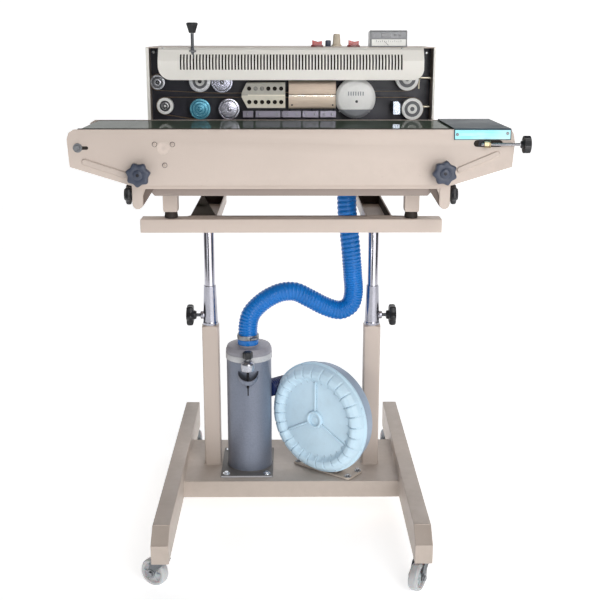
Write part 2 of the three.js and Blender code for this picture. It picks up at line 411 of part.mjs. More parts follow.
// ---------------------------------------------------------------- side-channel blower, turned towards the left
const blower = new THREE.Group();
blower.position.set(BLOW_X, BLOW_Y, BLOW_Z);
blower.rotation.z = THREE.MathUtils.degToRad(BLOW_TURN);
root.add(blower);
{
  // own frame: x across the disc, y towards the motor, z up
  const R = BLOW_R;
  const cup = lathe([[0, 32], [R - 20, 32], [R - 20, 0.6], [R - 3, 0.6], [R - 3, 30], [R - 12, 38], [0, 40]], [0, 0, 0], 'y', 32);
  const base = box(-78, 78, 1, 60, -BLOW_Z + PLAT_Z1 + GAP, -BLOW_Z + PLAT_Z1 + 8);
  const web = box(-40, 40, 8, 32, -BLOW_Z + PLAT_Z1 + 5, -R + 8);
  add('blower_housing', union(cup, base, web), 0xa9b4bf, 0.4, 0.6, blower);
  add('blower_cover', lathe([[0, -24], [19, -24], [20, -17], [86, -15], [98, -26], [112, -22], [120, -5], [R, -3], [R, 0],
    [110, 0], [92, -10], [0, -10]], [0, 0, 0], 'y', 32), 0xcfe3f2, 0.4, 0.2, blower);
  add('blower_motor', lathe([[0, 40.4], [52, 40.4], [52, 84], [43, 100], [0, 100]], [0, 0, 0], 'y', 20), 0x9aa6b2, 0.5, 0.5, blower);
  add('blower_impeller', lathe([[0, 2], [100, 2], [100, 26], [82, 26], [78, 14], [0, 14]], [0, 0, 0], 'y', 24), 0xb8bcc0, 0.4, 0.8, blower);
}
{
  const path = new THREE.CatmullRomCurve3([new THREE.Vector3(-48.5, 44, 276), new THREE.Vector3(-38, 53, 276), new THREE.Vector3(-27, 62, 276), new THREE.Vector3(-16, 71, 276)]);
  const ring = [];
  for (let k = 0; k < 12; k++) ring.push(new THREE.Vector2(20 * Math.cos((k / 12) * 2 * Math.PI), 20 * Math.sin((k / 12) * 2 * Math.PI)));
  const hose = solid(new THREE.ExtrudeGeometry(new THREE.Shape(ring), { steps: 5, extrudePath: path, bevelEnabled: false }));
  const canister = rod(CAN_R + GAP, 200, 352, [CAN_X, CAN_Y, 0], 'z', 28);
  const housing = rod(BLOW_R + GAP, -30, 42, [0, 0, 0], 'y', 32);
  housing.rotateZ(THREE.MathUtils.degToRad(BLOW_TURN));
  housing.translate(BLOW_X, BLOW_Y, BLOW_Z);
  add('link_hose', cut(hose, canister, housing), 0x1b2f6b, 0.5, 0);
}
// ---------------------------------------------------------------- ribbed air hose, canister to machine
{
  const pts = [[-94, 12, 390.3], [-94, 12, 404], [-93.5, 13, 431], [-87, 14, 455], [-68, 16, 477], [-43, 18, 494], [-18, 20, 503], [9, 21, 503], [38, 22, 489],
    [78, 24, 468], [107, 26, 461], [127, 28, 472], [134.5, 30, 497], [132.5, 32, 538], [129, 34, 581], [124.5, 37, 627], [119, 40, 675], [118, 40, 709], [118, 40, 734.7]];
  const path = new THREE.CatmullRomCurve3(pts.map((p) => new THREE.Vector3(...p)));
  const ring = [];
  for (let k = 0; k < 10; k++) ring.push(new THREE.Vector2(HOSE_R * Math.cos((k / 10) * 2 * Math.PI), HOSE_R * Math.sin((k / 10) * 2 * Math.PI)));
  add('air_hose', new THREE.ExtrudeGeometry(new THREE.Shape(ring), { steps: 36, extrudePath: path, bevelEnabled: false }), 0x1463c8, 0.4, 0);
}

root.position.x = -ORIGIN_X;
root.updateMatrixWorld(true);

export default root;
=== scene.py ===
import bpy, bmesh, math
import numpy as np
from mathutils import Vector, Matrix


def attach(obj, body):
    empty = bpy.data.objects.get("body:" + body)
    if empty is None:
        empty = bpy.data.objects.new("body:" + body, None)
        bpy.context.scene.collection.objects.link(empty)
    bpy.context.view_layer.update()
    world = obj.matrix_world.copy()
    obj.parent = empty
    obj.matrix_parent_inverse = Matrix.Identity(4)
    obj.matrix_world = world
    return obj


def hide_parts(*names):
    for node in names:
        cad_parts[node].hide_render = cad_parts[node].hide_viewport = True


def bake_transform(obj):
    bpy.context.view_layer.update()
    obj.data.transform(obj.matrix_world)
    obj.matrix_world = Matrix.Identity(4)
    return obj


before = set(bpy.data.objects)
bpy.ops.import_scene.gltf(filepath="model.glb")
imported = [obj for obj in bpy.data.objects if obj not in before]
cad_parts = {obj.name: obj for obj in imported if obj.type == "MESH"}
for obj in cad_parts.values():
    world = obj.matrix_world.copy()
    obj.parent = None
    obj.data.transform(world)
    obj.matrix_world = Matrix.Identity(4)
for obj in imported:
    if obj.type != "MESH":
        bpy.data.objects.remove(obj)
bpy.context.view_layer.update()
RNG = np.random.default_rng(11)
OX = -14.0                      # the parts are laid out in mm about the middle of the base; the row frame is 14 mm to the right of it
PI = math.pi


def W(p):
    return Vector(((p[0] + OX) / 1000, p[1] / 1000, p[2] / 1000))


# ------------------------------------------------------------------ camera
cam_data = bpy.data.cameras.new("camera")
cam_data.sensor_width = 36.0
cam_data.lens = 60.97
cam_data.clip_end = 50
cam = bpy.data.objects.new("camera", cam_data)
bpy.context.scene.collection.objects.link(cam)
yaw, pitch, roll = 0.0104348, -0.2573399, 0.00100988
f0 = Vector((math.sin(yaw), math.cos(yaw), 0)); r0 = Vector((math.cos(yaw), -math.sin(yaw), 0)); z0 = Vector((0, 0, 1))
fw = f0 * math.cos(pitch) + z0 * math.sin(pitch); up = -f0 * math.sin(pitch) + z0 * math.cos(pitch)
cx = r0 * math.cos(roll) + up * math.sin(roll); cy = -r0 * math.sin(roll) + up * math.cos(roll)
cm = Matrix.Identity(4)
for i in range(3):
    cm[i][0], cm[i][1], cm[i][2] = cx[i], cy[i], -fw[i]
cm[0][3], cm[1][3], cm[2][3] = -0.01736, -2.10127, 1.04313
cam.matrix_world = cm
bpy.context.scene.camera = cam
bpy.context.scene.view_settings.view_transform = "Standard"


# ------------------------------------------------------------------ material kit
class Mat:
    """A node material with small helpers; coordinates are the object's own, in metres."""

    def __init__(s, name):
        s.m = bpy.data.materials.new(name)
        s.m.use_nodes = True
        s.t = s.m.node_tree
        s.t.nodes.clear()
        s.out = s.n("ShaderNodeOutputMaterial")
        s.b = s.n("ShaderNodeBsdfPrincipled")
        s.l(s.b.outputs[0], s.out.inputs[0])
        s.co = s.n("ShaderNodeTexCoord").outputs["Object"]

    def n(s, kind, **props):
        node = s.t.nodes.new(kind)
        for k, v in props.items():
            setattr(node, k, v)
        return node

    def l(s, a, b):
        s.t.links.new(a, b)

    def put(s, sock, v):
        if hasattr(v, "links") or isinstance(v, bpy.types.NodeSocket):
            s.l(v, sock)
        elif isinstance(v, (tuple, list)) and len(v) == 3 and sock.type == "RGBA":
            sock.default_value = (*v, 1)
        else:
            sock.default_value = v

    def scaled(s, v=(1, 1, 1), loc=(0, 0, 0), rot=(0, 0, 0)):
        m = s.n("ShaderNodeMapping")
        s.l(s.co, m.inputs[0])
        m.inputs[1].default_value = loc
        m.inputs[2].default_value = rot
        m.inputs[3].default_value = v
        return m.outputs[0]

    def noise(s, scale, detail=3, rough=0.55, co=None, dist=0.0):
        x = s.n("ShaderNodeTexNoise")
        s.l(co or s.co, x.inputs["Vector"])
        x.inputs["Scale"].default_value = scale
        x.inputs["Detail"].default_value = detail
        x.inputs["Roughness"].default_value = rough
        x.inputs["Distortion"].default_value = dist
        return x.outputs[0]

    def voronoi(s, scale, co=None, feature="F1", out=0, rand=1.0):
        x = s.n("ShaderNodeTexVoronoi", feature=feature)
        s.l(co or s.co, x.inputs["Vector"])
        x.inputs["Scale"].default_value = scale
        x.inputs["Randomness"].default_value = rand
        return x.outputs[out]

    def wave(s, scale, kind="BANDS", direction="X", co=None, dist=0.0, profile="SIN"):
        x = s.n("ShaderNodeTexWave", wave_type=kind, wave_profile=profile)
        if kind == "BANDS":
            x.bands_direction = direction
        else:
            x.rings_direction = direction
        s.l(co or s.co, x.inputs["Vector"])
        x.inputs["Scale"].default_value = scale
        x.inputs["Distortion"].default_value = dist
        return x.outputs[1]

    def rng(s, v, a, b, c, d):
        x = s.n("ShaderNodeMapRange")
        s.l(v, x.inputs[0])
        for i, k in enumerate((a, b, c, d)):
            x.inputs[i + 1].default_value = k
        return x.outputs[0]

    def mix(s, f, a, b, mode="MIX"):
        x = s.n("ShaderNodeMix", data_type="RGBA", blend_type=mode)
        s.put(x.inputs[0], f); s.put(x.inputs[6], a); s.put(x.inputs[7], b)
        return x.outputs[2]

    def math(s, op, a, b=0.0, clamp=False):
        x = s.n("ShaderNodeMath", operation=op, use_clamp=clamp)
        s.put(x.inputs[0], a); s.put(x.inputs[1], b)
        return x.outputs[0]

    def sep(s, v=None):
        x = s.n("ShaderNodeSeparateXYZ")
        s.l(v or s.co, x.inputs[0])
        return x.outputs

    def normal_z(s):
        g = s.n("ShaderNodeNewGeometry")
        x = s.n("ShaderNodeSeparateXYZ")
        s.l(g.outputs["Normal"], x.inputs[0])
        return x.outputs[2]

    def edge(s, radius=0.0012):
        """0 on flat faces, rising towards 1 on edges."""
        g = s.n("ShaderNodeNewGeometry")
        bv = s.n("ShaderNodeBevel", samples=4)
        bv.inputs[0].default_value = radius
        d = s.n("ShaderNodeVectorMath", operation="DOT_PRODUCT")
        s.l(bv.outputs[0], d.inputs[0]); s.l(g.outputs["True Normal"], d.inputs[1])
        return s.rng(d.outputs["Value"], 0.995, 0.90, 0.0, 1.0)

    def bump(s, h, strength, dist=0.001, prev=None):
        x = s.n("ShaderNodeBump")
        x.inputs["Strength"].default_value = strength
        x.inputs["Distance"].default_value = dist
        s.l(h, x.inputs["Height"])
        if prev is not None:
            s.l(prev, x.inputs["Normal"])
        return x.outputs[0]

    def set(s, **kw):
        names = dict(color="Base Color", rough="Roughness", metal="Metallic", normal="Normal", coat="Coat Weight", coat_rough="Coat Roughness",
                     spec="Specular IOR Level", ior="IOR", trans="Transmission Weight", alpha="Alpha", sss="Subsurface Weight", sheen="Sheen Weight",
                     aniso="Anisotropic", emit="Emission Color", emit_s="Emission Strength")
        for k, v in kw.items():
            s.put(s.b.inputs[names[k]], v)
        return s.m


def lin(r, g, b):
    """sRGB 0-255 to linear."""
    return tuple((c / 255 / 12.92 if c / 255 <= 0.04045 else ((c / 255 + 0.055) / 1.055) ** 2.4) for c in (r, g, b))


def mul(c, k):
    return tuple(x * k for x in c)


def paint(name, rgb, rough=0.42, peel=0.22, dust=0.25, wear_and_highlight=0.35, spec=0.45, darken_low=True):
    """Powder coat: orange peel, faint mottling, dust on what faces up, rubbed edges painted lighter (wear plus a
    painted edge highlight), darker towards the floor.
    """
    k = Mat(name)
    base = lin(*rgb)
    big, mid, fine = k.noise(3.2, 3), k.noise(26, 4, 0.6), k.noise(1400, 2)
    c = k.mix(k.rng(big, 0.3, 0.7, 0, 1), mul(base, 0.955), mul(base, 1.035))
    c = k.mix(k.math("MULTIPLY", k.rng(mid, 0.45, 0.75, 0, 1), 0.10), c, mul(base, 0.88))
    c = k.mix(k.math("MULTIPLY", k.rng(fine, 0.4, 0.7, 0, 1), 0.10), c, mul(base, 0.80))
    # dust lying on upward faces
    upf = k.rng(k.normal_z(), 0.55, 1.0, 0, 1)
    dusty = k.math("MULTIPLY", k.math("MULTIPLY", upf, k.rng(k.noise(14, 5, 0.65), 0.35, 0.75, 0, 1)), dust)
    c = k.mix(dusty, c, lin(168, 158, 144))
    # darker towards the floor
    if darken_low:
        z = k.sep()[2]
        g = k.math("MULTIPLY", k.rng(z, 0.18, 0.04, 0, 1), k.rng(k.noise(60, 5, 0.7), 0.1, 0.8, 0.3, 1))
        c = k.mix(k.math("MULTIPLY", g, 0.42), c, lin(142, 136, 122))
    # lighter rubbed edges: partly wear, partly a painted edge highlight; the dark chips are wear
    e = k.edge(0.0011)
    rub_and_highlight = k.math("MULTIPLY", e, k.rng(k.noise(55, 4, 0.7), 0.42, 0.62, 0, 1))
    c = k.mix(k.math("MULTIPLY", rub_and_highlight, wear_and_highlight * 1.4, True), c, mul(base, 1.25))
    chips = k.math("MULTIPLY", e, k.rng(k.noise(130, 3, 0.6), 0.66, 0.70, 0, 1))
    c = k.mix(k.math("MULTIPLY", chips, wear_and_highlight * 1.4, True), c, lin(88, 84, 80))
    r = k.rng(k.noise(60, 4, 0.6), 0.3, 0.7, rough - 0.06, rough + 0.10)
    r = k.math("ADD", r, k.math("MULTIPLY", dusty, 0.35))
    n = k.bump(k.noise(420, 2, 0.4), peel, 0.0006)
    n = k.bump(k.noise(1700, 1, 0.5), peel * 0.5, 0.0002, n)
    return k.set(color=c, rough=r, normal=n, spec=spec)


def chrome(name, rgb=(205, 203, 212), rough=0.1, axis="z"):
    """Plated tube: polishing lines round it, a few long draws along it, haze in patches."""
    k = Mat(name)
    s = {"z": (60, 60, 2600), "x": (2600, 60, 60), "y": (60, 2600, 60)}[axis]
    d = {"z": (900, 900, 6), "x": (6, 900, 900), "y": (900, 6, 900)}[axis]
    rings, draws, haze = k.noise(1, 2, co=k.scaled(s)), k.noise(1, 2, 0.6, co=k.scaled(d)), k.noise(22, 5, 0.65)
    c = k.mix(k.rng(haze, 0.35, 0.75, 0, 1), lin(*rgb), mul(lin(*rgb), 0.80))
    c = k.mix(k.math("MULTIPLY", k.rng(draws, 0.62, 0.75, 0, 1), 0.35), c, mul(lin(*rgb), 0.5))
    r = k.rng(haze, 0.35, 0.8, rough, rough + 0.12)
    r = k.math("ADD", r, k.math("MULTIPLY", k.rng(draws, 0.6, 0.75, 0, 1), 0.15))
    n = k.bump(rings, 0.008, 0.0001)
    return k.set(color=c, rough=r, normal=n, metal=1.0)


def brushed(name, rgb, axis="x", rough=0.28, tint=None):
    k = Mat(name)
    s = {"x": (14, 1500, 1500), "y": (1500, 14, 1500), "z": (1500, 1500, 14)}[axis]
    g, big = k.noise(1, 3, 0.6, co=k.scaled(s)), k.noise(9, 4)
    c = k.mix(k.rng(g, 0.3, 0.7, 0, 1), mul(lin(*rgb), 0.82), lin(*rgb))
    c = k.mix(k.math("MULTIPLY", k.rng(big, 0.4, 0.7, 0, 1), 0.2), c, mul(lin(*rgb), 0.7))
    r = k.rng(g, 0.25, 0.75, rough - 0.06, rough + 0.14)
    return k.set(color=c, rough=r, normal=k.bump(g, 0.12, 0.0003), metal=1.0)


def turned(name, rgb, cxz, rough=0.22, pitch=900.0, metal=1.0, stain=0.3):
    """Face-turned disc about an axis along Y through cxz (mm): fine concentric tool lines, and a fan of soft sheen."""
    k = Mat(name)
    p = W((cxz[0], 0, cxz[1]))
    co = k.scaled((1, 0.0, 1), (-p.x, 0, -p.z))
    v = k.n("ShaderNodeVectorMath", operation="LENGTH"); k.l(co, v.inputs[0])
    rad = v.outputs["Value"]
    line = k.n("ShaderNodeTexNoise", noise_dimensions="1D")
    k.l(k.math("MULTIPLY", rad, pitch), line.inputs["W"])
    line.inputs["Scale"].default_value = 3.0
    line.inputs["Detail"].default_value = 3.0
    g = line.outputs[0]
    spots = k.noise(70, 4, 0.7)
    c = k.mix(k.rng(g, 0.3, 0.7, 0, 1), mul(lin(*rgb), 0.72), lin(*rgb))
    c = k.mix(k.math("MULTIPLY", k.rng(spots, 0.5, 0.75, 0, 1), stain), c, mul(lin(*rgb), 0.45))
    r = k.rng(g, 0.2, 0.8, rough - 0.08, rough + 0.15)
    return k.set(color=c, rough=r, metal=metal, normal=k.bump(g, 0.25, 0.0004))


def plastic(name, rgb, rough=0.35, spec=0.5, grain=900, bump=0.12, scuff=0.25, sss=0.0, coat=0.0, edge=0.25):
    """Moulded plastic: fine spark-eroded grain, handling scuffs, slightly paler edges (rubbing wear, partly a painted
    edge highlight).
    """
    k = Mat(name)
    base = lin(*rgb)
    a, g, s = k.noise(20, 4, 0.6), k.noise(grain, 2, 0.5), k.noise(1, 3, 0.7, co=k.scaled((60, 240, 60), rot=(0.3, 0.5, 0.2)))
    c = k.mix(k.rng(a, 0.35, 0.7, 0, 1), mul(base, 0.90), mul(base, 1.06))
    sc = k.math("MULTIPLY", k.rng(s, 0.60, 0.72, 0, 1), scuff)
    c = k.mix(k.math("MULTIPLY", sc, 0.35), c, tuple(min(1, x * 1.6 + 0.03) for x in base))
    # paler edges: partly rubbing wear, partly a painted edge highlight
    if edge:
        c = k.mix(k.math("MULTIPLY", k.edge(0.0008), edge), c, tuple(min(1, x * 1.5 + 0.02) for x in base))
    r = k.rng(a, 0.3, 0.75, rough - 0.05, rough + 0.08)
    r = k.math("ADD", r, k.math("MULTIPLY", sc, 0.5))
    n = k.bump(g, bump, 0.0003)
    return k.set(color=c, rough=r, normal=n, spec=spec, sss=sss, coat=coat)


def steel(name, rgb=(150, 152, 156), rough=0.34, spots=0.25):
    """Zinc plated steel with spangle and dull patches."""
    k = Mat(name)
    base = lin(*rgb)
    v, a = k.voronoi(420), k.noise(45, 5, 0.7)
    c = k.mix(k.rng(v, 0.0, 0.8, 0, 1), mul(base, 0.85), mul(base, 1.1))
    c = k.mix(k.math("MULTIPLY", k.rng(a, 0.5, 0.72, 0, 1), spots), c, mul(base, 0.4))
    r = k.rng(a, 0.3, 0.7, rough - 0.1, rough + 0.16)
    return k.set(color=c, rough=r, metal=1.0, normal=k.bump(k.noise(600, 2), 0.12, 0.0003))


def rubber(name, rgb, rough=0.6, grain=500, bump=0.3):
    k = Mat(name)
    base = lin(*rgb)
    a = k.noise(30, 5, 0.7)
    c = k.mix(k.rng(a, 0.35, 0.7, 0, 1), mul(base, 0.8), tuple(x * 1.15 + 0.006 for x in base))
    r = k.rng(a, 0.3, 0.75, rough - 0.1, rough + 0.1)
    return k.set(color=c, rough=r, normal=k.bump(k.noise(grain, 3, 0.6), bump, 0.0004), spec=0.4)


# ------------------------------------------------------------------ mesh kit (all coordinates in mm, layout frame)
def fillet(pts, r, n=4, closed=False):
    """Rounds the corners of a 2-D polyline. r is a number or one per point."""
    out, N = [], len(pts)
    for i, p in enumerate(pts):
        rad = r[i] if hasattr(r, "__len__") else r
        if (not closed and i in (0, N - 1)) or rad <= 0:
            out.append(tuple(p)); continue
        a, b = np.array(pts[i - 1], float), np.array(pts[(i + 1) % N], float)
        q = np.array(p, float)
        u, v = a - q, b - q
        lu, lv = np.linalg.norm(u), np.linalg.norm(v)
        if lu < 1e-6 or lv < 1e-6:
            out.append(tuple(p)); continue
        u, v = u / lu, v / lv
        ang = math.acos(max(-1, min(1, float(u @ v))))
        if ang > PI - 0.05 or ang < 0.02:
            out.append(tuple(p)); continue
        d = min(rad / math.tan(ang / 2), 0.48 * lu, 0.48 * lv)
        rr = d * math.tan(ang / 2)
        bis = (u + v) / np.linalg.norm(u + v)
        c = q + bis * (rr / math.sin(ang / 2))
        s, e = q + u * d, q + v * d
        a0 = math.atan2(*(s - c)[::-1]); a1 = math.atan2(*(e - c)[::-1])
        da = (a1 - a0 + PI) % (2 * PI) - PI
        for k in range(n + 1):
            t = a0 + da * k / n
            out.append((float(c[0] + rr * math.cos(t)), float(c[1] + rr * math.sin(t))))
    return out


class MB:
    """Collects shells and makes one object."""

    def __init__(s, T=None):
        s.v, s.f, s.T = [], [], T

    def add(s, verts, faces):
        o = len(s.v)
        s.v += [tuple(map(float, p)) for p in verts]
        s.f += [tuple(i + o for i in f) for f in faces]
        return s

    def lathe(s, prof, c=(0, 0, 0), axis="z", seg=48, a0=0.0, a1=2 * PI):
        """prof is [(radius, height)], open or closed; points at radius 0 become poles."""
        full = abs(a1 - a0 - 2 * PI) < 1e-6
        m = seg if full else seg + 1
        V, F, rows = [], [], []
        for r, h in prof:
            if r < 1e-6:
                rows.append([len(V)] * m); V.append((0, 0, h)); continue
            row = []
            for k in range(m):
                t = a0 + (a1 - a0) * k / seg
                row.append(len(V)); V.append((r * math.cos(t), r * math.sin(t), h))
            rows.append(row)
        for a, b in zip(rows, rows[1:]):
            for k in range(seg):
                k2 = (k + 1) % m
                q = []
                for i in (a[k], a[k2], b[k2], b[k]):
                    if i not in q:
                        q.append(i)
                if len(q) > 2:
                    F.append(tuple(q))
        if axis == "x":
            V = [(z, x, y) for x, y, z in V]
        elif axis == "y":
            V = [(y, z, x) for x, y, z in V]
        return s.add([(x + c[0], y + c[1], z + c[2]) for x, y, z in V], F)

    def prism(s, pts, axis, a, b, holes=()):
        """Polygon extruded along an axis. For x the points are (y,z), for y (x,z), for z (x,y)."""
        put = {"x": lambda p, h: (h, p[0], p[1]), "y": lambda p, h: (p[0], h, p[1]), "z": lambda p, h: (p[0], p[1], h)}[axis]
        loops = [list(pts)] + [list(h) for h in holes]
        if not holes:
            n = len(pts)
            V = [put(p, a) for p in pts] + [put(p, b) for p in pts]
            F = [tuple(range(n))[::-1], tuple(range(n, 2 * n))] + [(i, (i + 1) % n, n + (i + 1) % n, n + i) for i in range(n)]
            return s.add(V, F)
        from mathutils.geometry import tessellate_polygon
        flat = [p for lp in loops for p in lp]
        tri = tessellate_polygon([[Vector((p[0], p[1], 0)) for p in lp] for lp in loops])
        n = len(flat)
        V = [put(p, a) for p in flat] + [put(p, b) for p in flat]
        F = [tuple(t)[::-1] for t in tri] + [tuple(i + n for i in t) for t in tri]
        o = 0
        for lp in loops:
            m = len(lp)
            F += [(o + i, o + (i + 1) % m, n + o + (i + 1) % m, n + o + i) for i in range(m)]
            o += m
        return s.add(V, F)

    def box(s, x0, x1, y0, y1, z0, z1):
        V = [(x, y, z) for x in (x0, x1) for y in (y0, y1) for z in (z0, z1)]
        return s.add(V, [(0, 1, 3, 2), (4, 6, 7, 5), (0, 4, 5, 1), (2, 3, 7, 6), (0, 2, 6, 4), (1, 5, 7, 3)])

    def tube(s, path, r, seg=12, caps=True):
        """Round rod along 3-D points; r is a number or one per point."""
        P = np.array(path, float)
        n = len(P)
        T = np.gradient(P, axis=0); T /= np.linalg.norm(T, axis=1)[:, None] + 1e-12
        N = np.cross(T[0], (0, 0, 1)) if abs(T[0][2]) < 0.9 else np.cross(T[0], (1, 0, 0))
        N /= np.linalg.norm(N)
        V = []
        for i in range(n):
            N = N - T[i] * (N @ T[i]); N /= np.linalg.norm(N)
            B = np.cross(T[i], N)
            rr = r[i] if hasattr(r, "__len__") else r
            for k in range(seg):
                t = 2 * PI * k / seg
                V.append(P[i] + rr * (math.cos(t) * N + math.sin(t) * B))
        F = [(i * seg + k, i * seg + (k + 1) % seg, (i + 1) * seg + (k + 1) % seg, (i + 1) * seg + k) for i in range(n - 1) for k in range(seg)]
        if caps:
            F += [tuple(range(seg))[::-1], tuple(range((n - 1) * seg, n * seg))]
        return s.add(V, F)

    def layers(s, rings, cap0=True, cap1=True):
        """Closed rings of equal length, one above another."""
        n = len(rings[0]); V = [p for r in rings for p in r]
        F = [(i * n + k, i * n + (k + 1) % n, (i + 1) * n + (k + 1) % n, (i + 1) * n + k) for i in range(len(rings) - 1) for k in range(n)]
        if cap0: F.append(tuple(range(n))[::-1])
        if cap1: F.append(tuple(range((len(rings) - 1) * n, len(rings) * n)))
        return s.add(V, F)

    def turned_by(s, T):
        s.v = [tuple(T @ Vector(p)) for p in s.v]
        return s

    def obj(s, name, body, slot, mat, bevel=0.0, seg=2, angle=35, replaces=(), place=True, smooth=True):
        me = bpy.data.meshes.new(name)
        V = [tuple(s.T @ Vector(p)) for p in s.v] if s.T else s.v
        me.from_pydata([W(p) for p in V], [], s.f)
        bm = bmesh.new(); bm.from_mesh(me)
        bmesh.ops.recalc_face_normals(bm, faces=bm.faces)
        bm.to_mesh(me); bm.free()
        me.materials.append(mat)
        o = bpy.data.objects.new(name, me)
        bpy.context.scene.collection.objects.link(o)
        return dress(o, body, slot, bevel, seg, angle, replaces, place, smooth)


def dress(o, body, slot, bevel=0.0, seg=2, angle=35, replaces=(), place=True, smooth=True):
    me = o.data
    if smooth:
        me.shade_smooth()
        if not bevel:
            me.set_sharp_from_angle(angle=math.radians(angle))
    if bevel:
        b = o.modifiers.new("edges", "BEVEL")
        b.width = bevel / 1000; b.segments = seg; b.limit_method = "ANGLE"; b.angle_limit = math.radians(angle - 5)
        b.use_clamp_overlap = True; b.harden_normals = True
    if replaces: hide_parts(*replaces)
    if place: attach(o, body)
    return o


def cadcopy(node, name, body, slot, mat, bevel=1.0, seg=2, keep=None, angle=35):
    """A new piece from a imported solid: its coplanar triangles joined, its edges rounded like folded sheet."""
    bm = bmesh.new(); bm.from_mesh(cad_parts[node].data)
    bmesh.ops.remove_doubles(bm, verts=bm.verts, dist=2e-6)
    if keep:
        bmesh.ops.delete(bm, geom=[f for f in bm.faces if not keep(f.calc_center_median())], context="FACES")
    bmesh.ops.dissolve_limit(bm, angle_limit=0.004, verts=bm.verts, edges=bm.edges)
    me = bpy.data.meshes.new(name); bm.to_mesh(me); bm.free()
    me.materials.clear(); me.materials.append(mat)
    o = bpy.data.objects.new(name, me)
    bpy.context.scene.collection.objects.link(o)
    return dress(o, body, slot, bevel, seg, angle, (node,))


def ring(c, r, n=24, a0=0.0):
    return [(c[0] + r * math.cos(a0 + 2 * PI * k / n), c[1] + r * math.sin(a0 + 2 * PI * k / n)) for k in range(n)]


def rrect(x0, x1, y0, y1, r, n=4):
    return fillet([(x0, y0), (x1, y0), (x1, y1), (x0, y1)], r, n, True)


def axis_put(axis, p, h, c):
    if axis == "x": return (c[0] + h, c[1] + p[0], c[2] + p[1])
    if axis == "y": return (c[0] + p[0], c[1] + h, c[2] + p[1])
    return (c[0] + p[0], c[1] + p[1], c[2] + h)


def star_knob(mb, c, axis, R, lobes, depth, h0, h1, hub=0.45, dome=1.5, rot=0.0, n=10):
    """Lobed hand knob between heights h0 (stem side) and h1 (face): rounded rims, slightly crowned face with a hub disc."""
    N = lobes * n
    def outline(k):
        return [((R * (1 - depth * (0.5 - 0.5 * math.cos(lobes * t)) ** 0.8)) * k * math.cos(t + rot), (R * (1 - depth * (0.5 - 0.5 * math.cos(lobes * t)) ** 0.8)) * k * math.sin(t + rot)) for t in (2 * PI * i / N for i in range(N))]
    s = 1 if h1 > h0 else -1
    H = abs(h1 - h0)
    rim = min(0.32 * H, 0.16 * R)
    rows = [(0.30, 0.0), (1 - 1.6 * rim / R, 0.0), (1 - 0.5 * rim / R, 0.25 * rim), (1, rim), (1, H - rim), (1 - 0.30 * rim / R, H - 0.35 * rim), (1 - rim / R, H),
            (hub + 0.10, H + 0.0), (hub + 0.02, H - 0.5), (hub, H - 0.5), (hub - 0.03, H + dome * 0.6), (0.2, H + dome), (0.02, H + dome * 1.05)]
    rings = []
    for k, h in rows:
        if k > hub + 0.2: pts = outline(k)
        else: pts = [(R * k * math.cos(2 * PI * i / N + rot), R * k * math.sin(2 * PI * i / N + rot)) for i in range(N)]
        rings.append([axis_put(axis, p, h0 + s * h, c) for p in pts])
    return mb.layers(rings)


def screw(mb, c, axis, sgn, r=3.2, h=2.0, slot=True):
    """Pan head with a cross recess, standing on point c and facing sgn along axis."""
    N = 24
    prof = [(1.0, 0.0), (1.0, 0.35), (0.92, 0.72), (0.70, 0.94), (0.45, 1.0)]
    rings = [[axis_put(axis, (r * k * math.cos(2 * PI * i / N), r * k * math.sin(2 * PI * i / N)), sgn * h * q, c) for i in range(N)] for k, q in prof]
    # the recess: inner ring pulled into a cross and sunk
    def cross(i, k):
        t = 2 * PI * i / N; m = abs(math.cos(2 * t)) ** 3
        return r * k * (0.42 + 0.58 * m)
    if slot:
        rings.append([axis_put(axis, (cross(i, 0.44) * math.cos(2 * PI * i / N), cross(i, 0.44) * math.sin(2 * PI * i / N)), sgn * h * 0.98, c) for i in range(N)])
        rings.append([axis_put(axis, (cross(i, 0.36) * math.cos(2 * PI * i / N), cross(i, 0.36) * math.sin(2 * PI * i / N)), sgn * h * 0.45, c) for i in range(N)])
    return mb.layers(rings)


def hexbolt(mb, c, axis, sgn, af=10.0, h=4.5, washer=True, rot=0.2):
    N = 36
    def hexr(t):
        t = (t - rot) % (PI / 3) - PI / 6
        return af / 2 / math.cos(t)
    z = 0.0
    if washer:
        wr = af * 0.92
        mb.layers([[axis_put(axis, (wr * k * math.cos(2 * PI * i / N), wr * k * math.sin(2 * PI * i / N)), sgn * q, c) for i in range(N)] for k, q in ((1, 0), (1, 0.9), (0.97, 1.2), (0.4, 1.2))])
        z = 1.2
    rows = [(1.0, z, 0), (1.0, z + h * 0.8, 0), (0.93, z + h, 1), (0.80, z + h, 1), (0.5, z + h * 0.95, 1)]
    rings = []
    for k, q, rnd in rows:
        rings.append([axis_put(axis, ((af / 2 * 1.02 * k if rnd else min(hexr(2 * PI * i / N) * k, 99)) * math.cos(2 * PI * i / N),
                                      (af / 2 * 1.02 * k if rnd else min(hexr(2 * PI * i / N) * k, 99)) * math.sin(2 * PI * i / N)), sgn * q, c) for i in range(N)])
    return mb.layers(rings)


def weld_bead(mb, path, r=1.8, seg=8, seed=0):
    """Ripple of a weld seam along points."""
    g = np.random.default_rng(abs(int(seed)))
    P = np.array(path, float)
    L = np.concatenate([[0], np.cumsum(np.linalg.norm(np.diff(P, axis=0), axis=1))])
    n = max(8, int(L[-1] / 1.6))
    u = np.linspace(0, L[-1], n)
    Q = np.stack([np.interp(u, L, P[:, i]) for i in range(3)], 1)
    rr = r * (0.85 + 0.2 * np.abs(np.sin(u * 1.2)) + 0.06 * g.standard_normal(n))
    rr[0] *= 0.4; rr[-1] *= 0.4
    return mb.tube(Q, rr, seg)


